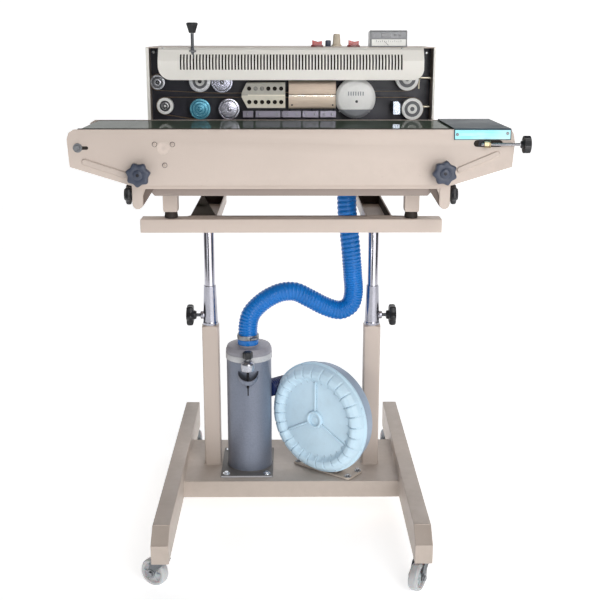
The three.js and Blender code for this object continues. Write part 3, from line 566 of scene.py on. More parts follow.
def knurl_rows(R, n, depth, h0, h1, mb, c, axis, m=4):
    N = n * m
    out = [(R - depth * (0.5 - 0.5 * math.cos(2 * PI * i / m)), 2 * PI * i / N) for i in range(N)]
    e = 0.8 if h1 > h0 else -0.8
    rings = []
    for k, h in ((0.3, h0), (1 - 1.0 / R, h0), (1, h0 + e), (1, h1 - e), (1 - 1.0 / R, h1), (0.3, h1)):
        rings.append([axis_put(axis, (r * k * math.cos(t), r * k * math.sin(t)), h, c) for r, t in out])
    return mb.layers(rings)


# ------------------------------------------------------------------ materials
BEIGE = paint("beige_powder_coat", (205, 191, 181))
# darker copy of the beige for inside faces: painted shade
BEIGE_SHADED_COPY = paint("beige_powder_coat_inside_shaded", (150, 136, 124), dust=0.1, wear_and_highlight=0.1)
# darker copy of the beige for the tray: painted shade for its place under the table overhang
TRAY_SHADED = paint("tray_powder_coat_painted_shade", (154, 141, 134))
RAIL_SHADE = paint("rail_inside_painted_shade", (52, 42, 38), rough=0.6, wear_and_highlight=0.1, dust=0.15, spec=0.2, darken_low=False)
GUARD = paint("guard_powder_coat", (250, 247, 240), rough=0.4, wear_and_highlight=0.3, darken_low=False)
PANEL = paint("blue_black_coat", (52, 52, 64), rough=0.34, peel=0.15, dust=0.12, wear_and_highlight=0.25, darken_low=False)
CHROME = chrome("chrome_tube")
CHROME_X = chrome("chrome_rod_x", axis="x")
SLEEVE = chrome("satin_chrome_sleeve", (184, 184, 194), rough=0.2)
ZINC = steel("zinc_plate")
DARKSTEEL = steel("blackened_steel", (60, 60, 64), 0.42)
FORK = steel("caster_pressed_steel", (120, 124, 128), 0.4, 0.4)
KNOB = plastic("slate_knob", (66, 73, 90), rough=0.32, spec=0.5, bump=0.14, scuff=0.5)
BLACK = plastic("black_knob", (30, 31, 35), rough=0.34, bump=0.14, scuff=0.4)
WHITE = plastic("white_moulding", (250, 250, 248), rough=0.38, bump=0.08, scuff=0.2, edge=0.0)
IVORY = plastic("ivory_knob", (203, 190, 170), rough=0.36, bump=0.1)
RED = plastic("red_switch", (176, 30, 24), rough=0.18, bump=0.05, coat=0.5)
FOOT = rubber("foot_rubber", (46, 38, 34))
TYRE = plastic("caster_tyre", (196, 200, 202), rough=0.38, grain=400, bump=0.18, scuff=0.9, sss=0.15, edge=0.0)


def belt_material():
    k = Mat("green_belt_pvc")
    a, g, t = k.noise(7, 4, 0.6), k.noise(1500, 2), k.noise(1, 3, 0.65, co=k.scaled((3, 500, 500)))
    c = k.mix(k.rng(a, 0.35, 0.7, 0, 1), lin(84, 97, 85), lin(96, 108, 96))
    c = k.mix(k.math("MULTIPLY", k.rng(t, 0.55, 0.75, 0, 1), 0.3), c, lin(112, 122, 110))
    # dark band along the two cut edges of the band: the belt's darker edge, deepened as painted shade for the shadow
    # line at its front
    y = k.math("ABSOLUTE", k.math("ADD", k.sep()[1], 0.075))
    c = k.mix(k.rng(y, 0.1010, 0.1040, 0, 1), c, lin(20, 26, 22))
    r = k.rng(t, 0.3, 0.75, 0.5, 0.7)
    n = k.bump(g, 0.05, 0.0002)
    n = k.bump(a, 0.06, 0.003, n)
    return k.set(color=c, rough=r, normal=n, spec=0.0, coat=0.34, coat_rough=0.035)


BELT = belt_material()


def hose_material(name, rgb, rough=0.22):
    k = Mat(name)
    base = lin(*rgb)
    a, g = k.noise(16, 4, 0.6), k.noise(700, 2)
    s = k.noise(1, 3, 0.7, co=k.scaled((90, 90, 90), rot=(0.4, 0.2, 0.9)))
    c = k.mix(k.rng(a, 0.35, 0.7, 0, 1), mul(base, 0.88), tuple(min(1, x * 1.08 + 0.002) for x in base))
    c = k.mix(k.math("MULTIPLY", k.rng(s, 0.6, 0.75, 0, 1), 0.05), c, lin(90, 150, 200))
    r = k.math("ADD", k.rng(a, 0.3, 0.7, rough - 0.04, rough + 0.07), k.math("MULTIPLY", k.rng(s, 0.55, 0.75, 0, 1), 0.12))
    return k.set(color=c, rough=r, normal=k.bump(g, 0.03, 0.0002), spec=0.35, coat=0.24, coat_rough=0.12)


HOSE = hose_material("blue_hose_pvc", (0, 114, 200), 0.22)
HOSE_DARK = hose_material("navy_hose_pvc", (22, 40, 92), 0.35)


def hammered(name, rgb, rough=0.33, metal=0.45):
    """Grey hammer-finish enamel."""
    k = Mat(name)
    base = lin(*rgb)
    v, a = k.voronoi(330, feature="SMOOTH_F1"), k.noise(11, 4, 0.6)
    c = k.mix(k.rng(v, 0.1, 0.75, 0, 1), mul(base, 1.06), mul(base, 0.9))
    c = k.mix(k.rng(a, 0.35, 0.7, 0, 0.5), c, mul(base, 0.84))
    streak = k.noise(1, 4, 0.65, co=k.scaled((60, 60, 5)))
    c = k.mix(k.math("MULTIPLY", k.rng(streak, 0.55, 0.75, 0, 1), 0.22), c, mul(base, 0.6))
    r = k.rng(a, 0.3, 0.75, rough, rough + 0.14)
    n = k.bump(v, 0.08, 0.0005)
    return k.set(color=c, rough=r, metal=metal, normal=n)


CANISTER = hammered("hammered_grey", (132, 139, 155))
CANISTER_CAP = hammered("hammered_grey_cap", (158, 157, 166), 0.42, 0.08)
PLATE = paint("plate_dark_grey", (92, 92, 98), rough=0.45, wear_and_highlight=0.6, dust=0.3)


def cast(name, rgb, rough=0.45, metal=0.15, grain=900, pits=0.4):
    """Painted pressure casting: fine sand grain, soft flow marks, and painted shade in the hollows, darker where
    ambient occlusion finds nearby surfaces.
    """
    k = Mat(name)
    base = lin(*rgb)
    a, g, f = k.noise(13, 5, 0.6), k.noise(grain, 3, 0.6), k.noise(60, 5, 0.7)
    ao = k.n("ShaderNodeAmbientOcclusion", samples=4)
    ao.inputs["Distance"].default_value = 0.005
    c = k.mix(k.rng(a, 0.3, 0.7, 0, 1), mul(base, 0.92), mul(base, 1.03))
    c = k.mix(k.math("MULTIPLY", k.rng(f, 0.5, 0.75, 0, 1), 0.2), c, mul(base, 0.72))
    # painted shade: hollows and grooves darkened from ambient occlusion
    hollow_shade = k.math("MULTIPLY", k.rng(ao.outputs["AO"], 0.80, 0.35, 0, 1), 0.8)
    c = k.mix(hollow_shade, c, mul(lin(88, 104, 128), 0.6))
    r = k.rng(f, 0.3, 0.75, rough - 0.05, rough + 0.15)
    n = k.bump(g, pits, 0.0003)
    return k.set(color=c, rough=r, metal=metal, normal=n)


BLOWER = cast("blower_pale_blue", (210, 238, 255), 0.34, 0.0, 900, 0.15)
BLOWER_RIM = cast("blower_casting_grey", (164, 182, 204), 0.45, 0.1)
MOTOR = cast("motor_grey_casting", (112, 120, 130), 0.5, 0.3)


def anodised(name, rgb, rough=0.38, axis="x", stain=0.35):
    k = Mat(name)
    base = lin(*rgb)
    s = {"x": (40, 900, 900), "z": (900, 900, 40)}[axis]
    g, a, h = k.noise(1, 3, 0.6, co=k.scaled(s)), k.noise(24, 5, 0.65), k.noise(9, 3)
    c = k.mix(k.rng(g, 0.35, 0.7, 0, 1), mul(base, 0.9), mul(base, 1.05))
    c = k.mix(k.math("MULTIPLY", k.rng(a, 0.5, 0.75, 0, 1), stain), c, mul(base, 0.66))
    c = k.mix(k.math("MULTIPLY", k.rng(h, 0.5, 0.7, 0, 1), 0.25), c, mul((base[0] * 1.02, base[1] * 0.9, base[2] * 0.74), 0.9))
    # paler edges: partly wear, partly a painted edge highlight
    e = k.edge(0.0009)
    c = k.mix(k.math("MULTIPLY", e, 0.35), c, tuple(min(1, x * 1.35) for x in base))
    r = k.rng(g, 0.3, 0.7, rough - 0.07, rough + 0.1)
    return k.set(color=c, rough=r, metal=0.25, normal=k.bump(g, 0.10, 0.0003))


CREAM = anodised("heater_cream", (226, 221, 206), 0.4, stain=0.25)
# upper heater plate: a darker, more stained copy of the cream
CREAM_UP = anodised("heater_cream_upper_darker", (190, 187, 177), 0.45, stain=0.5)
# one tan finish in two tones: the upper cover darker as painted shade from the guard above, the lower lighter as
# painted light
TAN = anodised("cooler_tan", (204, 186, 168), 0.36, stain=0.2)
TAN_LIT_LOWER = anodised("cooler_tan_lower_painted_light", (238, 220, 200), 0.36, stain=0.15)
STEELCOVER = plastic("slate_blue_coated_plate", (66, 82, 92), rough=0.5, spec=0.12, grain=1200, bump=0.2, scuff=0.7)


# flat dark material for slots, holes, recesses and openings: painted shade
def painted_shade_material():
    k = Mat("dark_painted_shade")
    a = k.noise(200, 4, 0.7)
    return k.set(color=k.mix(a, lin(20, 14, 10), lin(46, 34, 24)), rough=k.rng(a, 0.3, 0.7, 0.6, 0.9), normal=k.bump(a, 0.4, 0.0005))


SHADE_DARK = painted_shade_material()


def film_material():
    """Thin peel-off film still on the steel skirt: bright, with a soft cyan cast that comes and goes."""
    k = Mat("skirt_protective_film")
    a, w = k.noise(9, 3, 0.5, dist=0.4), k.noise(1, 4, 0.6, co=k.scaled((8, 400, 120)))
    c = k.mix(k.rng(a, 0.38, 0.62, 0, 1), lin(236, 252, 254), lin(150, 240, 252))
    c = k.mix(k.math("MULTIPLY", k.rng(w, 0.55, 0.75, 0, 1), 0.3), c, lin(250, 252, 252))
    return k.set(color=c, rough=k.rng(w, 0.3, 0.7, 0.16, 0.34), normal=k.bump(w, 0.12, 0.0006), spec=0.6, coat=0.4, coat_rough=0.1)


FILM = film_material()


def band_material():
    k = Mat("ptfe_glass_band")
    w1, w2 = k.wave(170, "BANDS", "X"), k.wave(170, "BANDS", "Y")
    g = k.math("MULTIPLY", w1, w2)
    a = k.noise(35, 4, 0.6)
    c = k.mix(g, lin(96, 78, 58), lin(150, 126, 98))
    c = k.mix(k.math("MULTIPLY", k.rng(a, 0.5, 0.7, 0, 1), 0.4), c, lin(60, 46, 36))
    return k.set(color=c, rough=k.rng(a, 0.3, 0.7, 0.3, 0.5), normal=k.bump(g, 0.3, 0.0003))


BAND = band_material()


def glassy():
    k = Mat("clear_window")
    a = k.noise(40, 3)
    return k.set(color=lin(232, 238, 240), rough=k.rng(a, 0.3, 0.7, 0.03, 0.10), trans=0.92, ior=1.45, normal=k.bump(a, 0.03, 0.0006), spec=0.5)


GLASS = glassy()
METER = plastic("meter_grey", (132, 134, 136), rough=0.28, bump=0.06)
DIAL = plastic("meter_dial_card", (244, 244, 240), rough=0.55, bump=0.15, grain=2500, edge=0.0)

# ------------------------------------------------------------------ the ribbed air hose (a declared hose)
HOSE_PTS = [[-94, 12, 390.3], [-94, 12, 404], [-93.5, 13, 431], [-87, 14, 455], [-68, 16, 477], [-43, 18, 494], [-18, 20, 503], [9, 21, 503], [38, 22, 489],
            [78, 24, 468], [107, 26, 461], [127, 28, 472], [134.5, 30, 497], [132.5, 32, 538], [129, 34, 581], [124.5, 37, 627], [119, 40, 675], [118, 40, 709], [118, 40, 734.7]]


def catmull(pts, per=24):
    P = np.array(pts, float)
    P = np.vstack([2 * P[0] - P[1], P, 2 * P[-1] - P[-2]])
    out = []
    for i in range(1, len(P) - 2):
        x0, x1, x2, x3 = P[i - 1], P[i], P[i + 1], P[i + 2]
        d0, d1, d2 = (max(1e-4, np.linalg.norm(b - a) ** 0.5) for a, b in ((x0, x1), (x1, x2), (x2, x3)))
        t1 = ((x1 - x0) / d0 - (x2 - x0) / (d0 + d1) + (x2 - x1) / d1) * d1
        t2 = ((x2 - x1) / d1 - (x3 - x1) / (d1 + d2) + (x3 - x2) / d2) * d1
        for u in np.linspace(0, 1, per, endpoint=False):
            out.append(x1 + t1 * u + (-3 * x1 + 3 * x2 - 2 * t1 - t2) * u * u + (2 * x1 - 2 * x2 + t1 + t2) * u ** 3)
    out.append(P[-2])
    return np.array(out)


def resample(P, n):
    L = np.concatenate([[0], np.cumsum(np.linalg.norm(np.diff(P, axis=0), axis=1))])
    u = np.linspace(0, L[-1], n)
    return np.stack([np.interp(u, L, P[:, i]) for i in range(3)], 1), L[-1], u


def ribbed(mb, P, u, pitch, r_out, depth, seg=40, helix=True, sharp=0.7):
    """Spiral-ribbed hose wall along P; pitch is one number per point."""
    n = len(P)
    T = np.gradient(P, axis=0); T /= np.linalg.norm(T, axis=1)[:, None]
    ph = np.concatenate([[0], np.cumsum(np.diff(u) / (0.5 * (pitch[1:] + pitch[:-1])))])
    N = np.cross(T[0], (0, 1, 0)); N /= np.linalg.norm(N)
    V = []
    for i in range(n):
        N = N - T[i] * (N @ T[i]); N /= np.linalg.norm(N)
        B = np.cross(T[i], N)
        for k in range(seg):
            t = 2 * PI * k / seg
            w = (0.5 + 0.5 * math.cos(2 * PI * (ph[i] - (k / seg if helix else 0)))) ** sharp
            r = r_out - depth * (1 - w)
            V.append(P[i] + r * (math.cos(t) * N + math.sin(t) * B))
    F = [(i * seg + k, i * seg + (k + 1) % seg, (i + 1) * seg + (k + 1) % seg, (i + 1) * seg + k) for i in range(n - 1) for k in range(seg)]
    F += [tuple(range(seg))[::-1], tuple(range((n - 1) * seg, n * seg))]
    return mb.add(V, F)


raw = catmull(HOSE_PTS)
_, LEN, _ = resample(raw, 10)
P, LEN, U = resample(raw, 820)
frac = U / LEN
pit = np.interp(U, [0, 40, 90, 150, 210, 270, 330, 365, 400, 440, LEN - 60, LEN], [6.2, 6.2, 6.6, 7.2, 7.2, 6.6, 5.2, 4.8, 6.5, 9.6, 10.2, 9.0])
hose = ribbed(MB(), P, U, pit, 21.0, 1.4).obj("air_hose_ribbed", None, "blue_hose", HOSE, place=False, replaces=("air_hose",), angle=180)
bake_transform(hose)

# clamps and cuffs on the hose
mb = MB()
mb.lathe(fillet([(20.6, 401.5), (23.4, 401.5), (23.4, 411.5), (20.6, 411.5)], 0.5, 2, True) + [(20.6, 401.5)], (-94, 12, 0), "z", 64)
for q in range(26):      # the pressed slots of the worm band
    t = 2 * PI * q / 26 + 0.1
    c, s_ = math.cos(t), math.sin(t)
    mb.add([(-94 + 23.7 * c - s_ * e - c * d, 12 + 23.7 * s_ + c * e - s_ * d, z) for e, d, z in ((-0.6, 0, 403.4), (0.6, 0, 403.9), (0.6, 0, 410.1), (-0.6, 0, 409.6), (-0.6, 0.8, 403.4), (0.6, 0.8, 403.9), (0.6, 0.8, 410.1), (-0.6, 0.8, 409.6))],
           [(0, 1, 2, 3), (7, 6, 5, 4), (0, 4, 5, 1), (1, 5, 6, 2), (2, 6, 7, 3), (3, 7, 4, 0)])
a = math.radians(-62)
hx, hy = -94 + 26.5 * math.cos(a), 12 + 26.5 * math.sin(a)
tx, ty = -math.sin(a), math.cos(a)
mb.tube([(hx - tx * 7, hy - ty * 7, 406.5), (hx + tx * 7, hy + ty * 7, 406.5)], 3.6, 20)
mb.tube([(hx + tx * 7, hy + ty * 7, 406.5), (hx + tx * 11, hy + ty * 11, 406.5)], 3.0, 6)
clamp_low = mb.obj("hose_clamp_lower", "stand", "caster_zinc", ZINC, angle=40)
cuff = MB().lathe(fillet([(20.2, 389.6), (22.3, 389.6), (22.8, 391.5), (22.8, 400.4), (22.2, 401.3), (20.2, 401.3)], 0.4, 2, True) + [(20.2, 389.6)], (-94, 12, 0), "z", 64).obj("hose_cuff_lower", "stand", "blue_hose", HOSE)
clamp_up = MB().lathe(fillet([(20.6, 722), (23.2, 722), (23.2, 732), (20.6, 732)], 0.5, 2, True) + [(20.6, 722)], (118, 40, 0), "z", 64).tube([(118, 40 - 25.5, 727), (126, 40 - 25.5, 727)], 3.4, 18).obj("hose_clamp_upper", "lift", "caster_zinc", ZINC, angle=40)
print("air hose length mm", round(LEN, 1))

# the short link between canister and blower
lp, LL, lu = resample(np.array([[-50, 42.6, 276], [-38, 53, 276], [-27, 62, 276], [-14, 72.5, 276]], float), 70)
ribbed(MB(), lp, lu, np.full(70, 6.0), 20.0, 1.6).obj("link_hose_ribbed", "stand", "dark_blue_hose", HOSE_DARK, replaces=("link_hose",), angle=180)

# ------------------------------------------------------------------ caster base
cadcopy("base_frame", "base_h_frame", "stand", "beige_paint", BEIGE, bevel=2.2, seg=3)
mb = MB()
for s in (-1, 1):
    x = s * 234.5
    for y, sd in ((-65.4, 1), (170.4, 2)):
        weld_bead(mb, [(x, y, 66), (x, y, 99.5)], 1.9, seed=sd)
    weld_bead(mb, [(x, -64, 100.2), (x, 169, 100.2)], 1.9, seed=5)
    # the shoe plate's seams
    weld_bead(mb, [(s * 236, -320.3, 127.0), (s * 267, -320.3, 127.0)], 0.9, seed=7)
    weld_bead(mb, [(s * 236, -354.8, 100.6), (s * 267, -354.8, 100.6)], 0.9, seed=8)
for s in (-1, 1):
    for dx, dy in ((-18, 0), (18, 0), (0, -18), (0, 18)):
        a, b = ((s * 176.7 + dx, 41.5 - 17, 100.6), (s * 176.7 + dx, 41.5 + 17, 100.6)) if dx else ((s * 176.7 - 17, 41.5 + dy, 100.6), (s * 176.7 + 17, 41.5 + dy, 100.6))
        weld_bead(mb, [a, b], 1.7, seed=11 + int(dx + 2 * dy))
mb.obj("base_weld_seams", "stand", "beige_paint", BEIGE, angle=60)

for key, deg in (("front_left", 150), ("front_right", 240), ("rear_left", 75), ("rear_right", 105)):
    sx = -1 if key.endswith("left") else 1
    sy = -1 if key.startswith("front") else 1
    T = Matrix.Translation((sx * 251.5, sy * 326, 0)) @ Matrix.Rotation(math.radians(deg), 4, "Z")
    fbody, wbody = "caster_" + key, "wheel_" + key
    # fork: swivel head with ball race, pressed legs with a rolled edge, axle with nut
    mb = MB(T)
    mb.lathe(fillet([(0, 61.6), (16.4, 61.6), (16.4, 58.6), (14.6, 58.2), (14.6, 57.4), (16.2, 56.8), (15.6, 54.6), (9, 54.2), (0, 54.2)], 0.5, 2), (0, 0, 0), "z", 48)
    mb.lathe([(0, 54.2), (4.5, 54.2), (4.5, 52.6), (3.2, 51.9), (0, 51.9)], (0, 0, 0), "z", 24)
    h, t = 11.2, 2.0
    leg = fillet([(-12.5, 56.6), (15.5, 56.6), (19, 50), (25.5, 32), (26, 24), (20, 19), (12.5, 22), (4, 40), (-8.5, 50.5)], [2, 3, 8, 6, 5, 5, 6, 10, 3], 4, True)
    for y in (h, -h - t):
        mb.prism(leg, "y", y, y + t)
    mb.box(-12, 15, -h - t, h + t, 56.0, 58.0)
    fork = mb.obj("caster_fork_shell_" + key, fbody, "caster_zinc", FORK, bevel=0.7, seg=2, replaces=("caster_fork_" + key,))
    mb = MB(T)
    mb.lathe([(0, -15.4), (3.9, -15.4), (3.9, 15.4), (0, 15.4)], (18, 0, 28), "y", 20)
    hexbolt(mb, (18, -13.2, 28), "y", -1, 10, 3.0)
    hexbolt(mb, (18, 13.2, 28), "y", 1, 10, 3.0)
    # rollers of the ball race showing as a rim of balls
    for q in range(14):
        a = 2 * PI * q / 14
        mb.lathe([(0, -1.0), (0.7, -0.7), (1.0, 0), (0.7, 0.7), (0, 1.0)], (14.9 * math.cos(a), 14.9 * math.sin(a), 57.8), "z", 10)
    mb.obj("caster_axle_" + key, fbody, "caster_zinc", ZINC, angle=40)
    # wheel: crowned tread, recessed web with ribs, hub boss
    mb = MB(T)
    prof = fillet([(6.0, -9.9), (8.2, -9.9), (8.6, -6.0), (19.5, -5.0), (20.6, -9.0), (25.4, -9.6), (27.9, -5.2), (28.0, 0), (27.9, 5.2), (25.4, 9.6), (20.6, 9.0), (19.5, 5.0), (8.6, 6.0), (8.2, 9.9), (6.0, 9.9)], 1.0, 3)
    mb.lathe(prof + [prof[0]], (18, 0, 28), "y", 72)
    for q in range(6):
        a = 2 * PI * q / 6
        for sgn in (-1, 1):
            p0 = (18 + 8 * math.cos(a), sgn * 6.6, 28 + 8 * math.sin(a)); p1 = (18 + 20 * math.cos(a), sgn * 6.0, 28 + 20 * math.sin(a))
            mb.tube([p0, p1], 1.3, 8)
    mb.obj("caster_tyre_" + key, wbody, "caster_tyre", TYRE, replaces=("caster_wheel_" + key,), angle=50)
    mb = MB(T).lathe([(3.95, -10.1), (6.1, -10.1), (6.1, 10.1), (3.95, 10.1), (3.95, -10.1)], (18, 0, 28), "y", 32)
    mb.obj("caster_bushing_" + key, wbody, "caster_zinc", DARKSTEEL)
print("base done")

# ------------------------------------------------------------------ columns, sleeves, lift tubes, lock knobs
for s, side in ((-1, "left"), (1, "right")):
    x = s * 176.7
    mb = MB()
    mb.prism(rrect(x - 18, x + 18, 41.5 - 18, 41.5 + 18, 4.0, 4), "z", 100.3, 423.0, [rrect(x - 15.5, x + 15.5, 41.5 - 15.5, 41.5 + 15.5, 2.0, 4)])
    mb.prism(rrect(x - 17.9, x + 17.9, 41.5 - 17.9, 41.5 + 17.9, 4.0, 4), "z", 420.0, 423.6, [ring((x, 41.5), 12.0, 40)])
    mb.obj("column_post_" + side, "stand", "beige_paint", BEIGE, replaces=("column_" + side,), angle=50)
    weld_bead(MB(), [(x + 17.2 * math.cos(a), 41.5 + 17.2 * math.sin(a), 424) for a in np.linspace(0, 2 * PI, 48)], 1.5, seed=3).obj("column_cap_seam_" + side, "stand", "beige_paint", BEIGE, angle=60)
    # tapered sleeve with a shoulder and a lip
    mb = MB().lathe(fillet([(11.7, 422.6), (17.0, 422.6), (17.0, 430.5), (16.2, 432.5), (13.4, 509.5), (13.4, 512.8), (12.6, 513.4), (11.7, 513.4)], [0, .6, 1.5, 1.5, .6, .8, .4, 0], 3) + [(11.7, 422.6)], (x, 41.5, 0), "z", 64)
    mb.obj("column_sleeve_" + side, "stand", "chrome_tube", SLEEVE, angle=45)
    # boss for the clamp screw
    MB().lathe(fillet([(4.5, 12.0), (8.6, 12.0), (8.6, 20.6), (7.8, 21.4), (4.5, 21.4)], 0.4, 2) + [(4.5, 12.0)], (x, 41.5, 446), "x", 32).obj("tmp", "stand", "chrome_tube", SLEEVE, angle=45) if s > 0 else \
        MB().lathe([(r_, -h_) for r_, h_ in fillet([(4.5, 12.0), (8.6, 12.0), (8.6, 20.6), (7.8, 21.4), (4.5, 21.4)], 0.4, 2)] + [(4.5, -12.0)], (x, 41.5, 446), "x", 32).obj("tmp", "stand", "chrome_tube", SLEEVE, angle=45)
    bpy.data.objects["tmp"].name = "clamp_boss_" + side
    mb = MB().lathe(fillet([(0, 318), (10.4, 318), (11.3, 319), (11.3, 656.6), (0, 656.6)], 0.4, 2), (x, 41.5, 0), "z", 72)
    mb.obj("lift_tube_polished_" + side, "lift", "chrome_tube", CHROME, replaces=("lift_tube_" + side,), angle=40)
    # flange under the top frame
    mb = MB().lathe(fillet([(11.3, 648), (13.2, 650), (14.5, 655.8), (22, 656.0), (22, 657.4), (11.3, 657.4)], 0.5, 2) + [(11.3, 648)], (x, 41.5, 0), "z", 48)
    mb.obj("lift_tube_flange_" + side, "lift", "beige_paint", BEIGE, angle=45)
    # clamp knob
    b = "lock_knob_%s_body" % side
    mb = MB()
    star_knob(mb, (x, 41.5, 446), "x", 24, 6, 0.2, s * 36.5, s * 51.5, hub=0.5, dome=1.6)
    mb.lathe(fillet([(0, s * 30.6), (8.8, s * 30.6), (9.6, s * 33), (10.4, s * 37.5), (0, s * 37.5)], 0.8, 3), (x, 41.5, 446), "x", 40)
    mb.obj("lock_knob_star_" + side, b, "black_plastic", BLACK, replaces=("lock_knob_" + side,), angle=60)
    mb = MB()
    pr = [(0, s * 12.2), (3.4, s * 12.2)]
    h = 12.6
    while h < 31:
        pr += [(4.0, s * h), (3.4, s * (h + 0.62))]; h += 1.25
    pr += [(0, s * 31)]
    mb.lathe(pr, (x, 41.5, 446), "x", 28)
    mb.obj("lock_knob_thread_" + side, b, "caster_zinc", ZINC, angle=60)

# ------------------------------------------------------------------ top frame of the stand
cadcopy("top_frame", "top_frame_channels", "lift", "beige_paint", BEIGE, bevel=1.3, seg=3)
mb = MB()
for sx in (-1, 1):
    for y, zz in ((-70.5, 684.0), (227.6, 684.0)):
        weld_bead(mb, [(sx * 177.7 - 26, y, zz), (sx * 177.7 + 26, y, zz)], 1.4, seed=int(abs(y)) + sx)
mb.obj("top_frame_weld_seams", "lift", "beige_paint", BEIGE, angle=60)
# dark brown lining inside the two rails, open above: painted shade for the deep shadow in the channels
mb = MB()
for sx in (-1, 1):
    xc = sx * 177.7
    o = [(xc - 24.4, -69.7), (xc + 24.4, -69.7), (xc + 24.4, 227.2), (xc - 24.4, 227.2)]
    i_ = [(xc - 24.1, -69.4), (xc + 24.1, -69.4), (xc + 24.1, 226.9), (xc - 24.1, 226.9)]
    mb.prism(o, "z", 661.0, 681.5, [i_])
mb.obj("rail_inside_shade_lining", "lift", "beige_paint", RAIL_SHADE)

# ------------------------------------------------------------------ tray of the machine: posts, feet, neck
mb = MB()
o, t = [(-262, 740), (262, 740), (275, 755), (-275, 755)], 2.5
# pan: floor and four walls as one folded sheet
ring0 = [(-259.5, -162.5, 742.5), (259.5, -162.5, 742.5), (259.5, 281.5, 742.5), (-259.5, 281.5, 742.5)]
ring1 = [(-272, -162.5, 755), (272, -162.5, 755), (272, 281.5, 755), (-272, 281.5, 755)]
ring2 = [(-275, -165, 755), (275, -165, 755), (275, 284, 755), (-275, 284, 755)]
ring3 = [(-262, -165, 740), (262, -165, 740), (262, 284, 740), (-262, 284, 740)]
mb.layers([ring3, ring2, ring1, ring0])
# the tray takes the darker, shaded copy of the beige
mb.obj("tray_pan", "lift", "beige_paint", TRAY_SHADED, bevel=1.6, seg=3, replaces=("machine_tray",))
mb = MB()
for x in (-240, 240):
    for y in (-90, 244):
        b0 = [(x - 13.6, y - 13.6, 698), (x + 13.6, y - 13.6, 698), (x + 13.6, y + 13.6, 698), (x - 13.6, y + 13.6, 698)]
        b1 = [(x - 14.5, y - 14.5, 704), (x + 14.5, y - 14.5, 704), (x + 14.5, y + 14.5, 704), (x - 14.5, y + 14.5, 704)]
        b2 = [(x - 14.5, y - 14.5, 741), (x + 14.5, y - 14.5, 741), (x + 14.5, y + 14.5, 741), (x - 14.5, y + 14.5, 741)]
        mb.layers([b0, b1, b2])
mb.obj("tray_posts", "lift", "beige_paint", BEIGE, bevel=1.2, seg=3)
mb = MB()
for x in (-240, 240):
    for y in (-90, 244):
        mb.lathe(fillet([(0, 685.0), (12.6, 685.0), (13.5, 686.5), (13.3, 690), (12.2, 697), (11.6, 699), (0, 699)], 0.8, 3), (x, y, 0), "z", 40)
mb.obj("tray_rubber_feet", "lift", "black_plastic", FOOT, angle=45)
MB().lathe(fillet([(21.2, 735), (24, 735), (24, 738), (31, 739.2), (31, 740.2), (21.2, 740.2)], 0.5, 2) + [(21.2, 735)], (118, 40, 0), "z", 56).obj("tray_hose_neck", "lift", "beige_paint", BEIGE, angle=40)
print("stand done")

# ------------------------------------------------------------------ conveyor table
cadcopy("table_frame", "table_shell", "table", "beige_paint", BEIGE, bevel=1.1, seg=3)


def pill(mb, x0, z0, x1, z1, w, h, y, n=26, m=14):
    """Pressed stiffening rib: a long rounded ridge on the plane y, raised towards -Y."""
    a = math.atan2(z1 - z0, x1 - x0); L = math.hypot(x1 - x0, z1 - z0)
    nx, nz = -math.sin(a), math.cos(a)
    V, F = [], []
    N = 2 * n
    # outline of the pill as a closed loop, shrunk inwards in steps with the height rising
    def loop(k):
        r = w / 2 * k; pts = []
        for i in range(n):
            t = PI / 2 + PI * i / (n - 1); pts.append((r * math.cos(t), r * math.sin(t)))
        for i in range(n):
            t = -PI / 2 + PI * i / (n - 1); pts.append((L + r * math.cos(t), r * math.sin(t)))
        return pts
    rings = []
    for j in range(m):
        k = 1 - j / (m - 1) * 0.98
        hh = h * (0.5 - 0.5 * math.cos(PI * min(1, (1 - k) * 2.6)))
        rings.append([(x0 + p * math.cos(a) + q * nx, y - hh, z0 + p * math.sin(a) + q * nz) for p, q in loop(k)])
    mb.layers(rings, cap0=False)


mb = MB()
pill(mb, -388, 807.5, -303, 779.5, 13.5, 3.4, -184.9)
pill(mb, 387, 822.5, 318, 793, 12.5, 3.4, -184.9)
pill(mb, -388, 809, -303, 781, 9.5, -2.4, 34.9)
pill(mb, 387, 824, 318, 794.5, 9.5, -2.4, 34.9)
mb.obj("table_pressed_ribs", "table", "beige_paint", BEIGE, angle=75)
mb = MB()
for x, z in ((-256.1, 840.4), (-222.6, 840.3), (-238.1, 801.3)):
    screw(mb, (x, -185.3, z), "y", -1, 4.1, 2.8)
mb.obj("table_painted_screws", "table", "beige_paint", BEIGE, angle=40)
# dark rings under the painted screws: painted shade for the gap round each head
mb = MB()
for x, z in ((-256.1, 840.4), (-222.6, 840.3), (-238.1, 801.3)):
    mb.lathe(fillet([(0, -185.0), (5.0, -185.0), (4.7, -185.32), (0, -185.32)], 0.1, 2), (x, 0, z), "y", 32)
mb.obj("table_screw_shade_rings", "table", "caster_zinc", DARKSTEEL, angle=40)
# faint pressed round between the screws, left plain
MB().lathe(fillet([(0, -185.0), (13.5, -185.0), (13.0, -185.35), (12.0, -185.35), (11.6, -185.1), (0, -185.1)], 0.15, 2), (-239.5, 0, 833), "y", 56).obj("table_pressed_disc", "table", "beige_paint", BEIGE, angle=30)
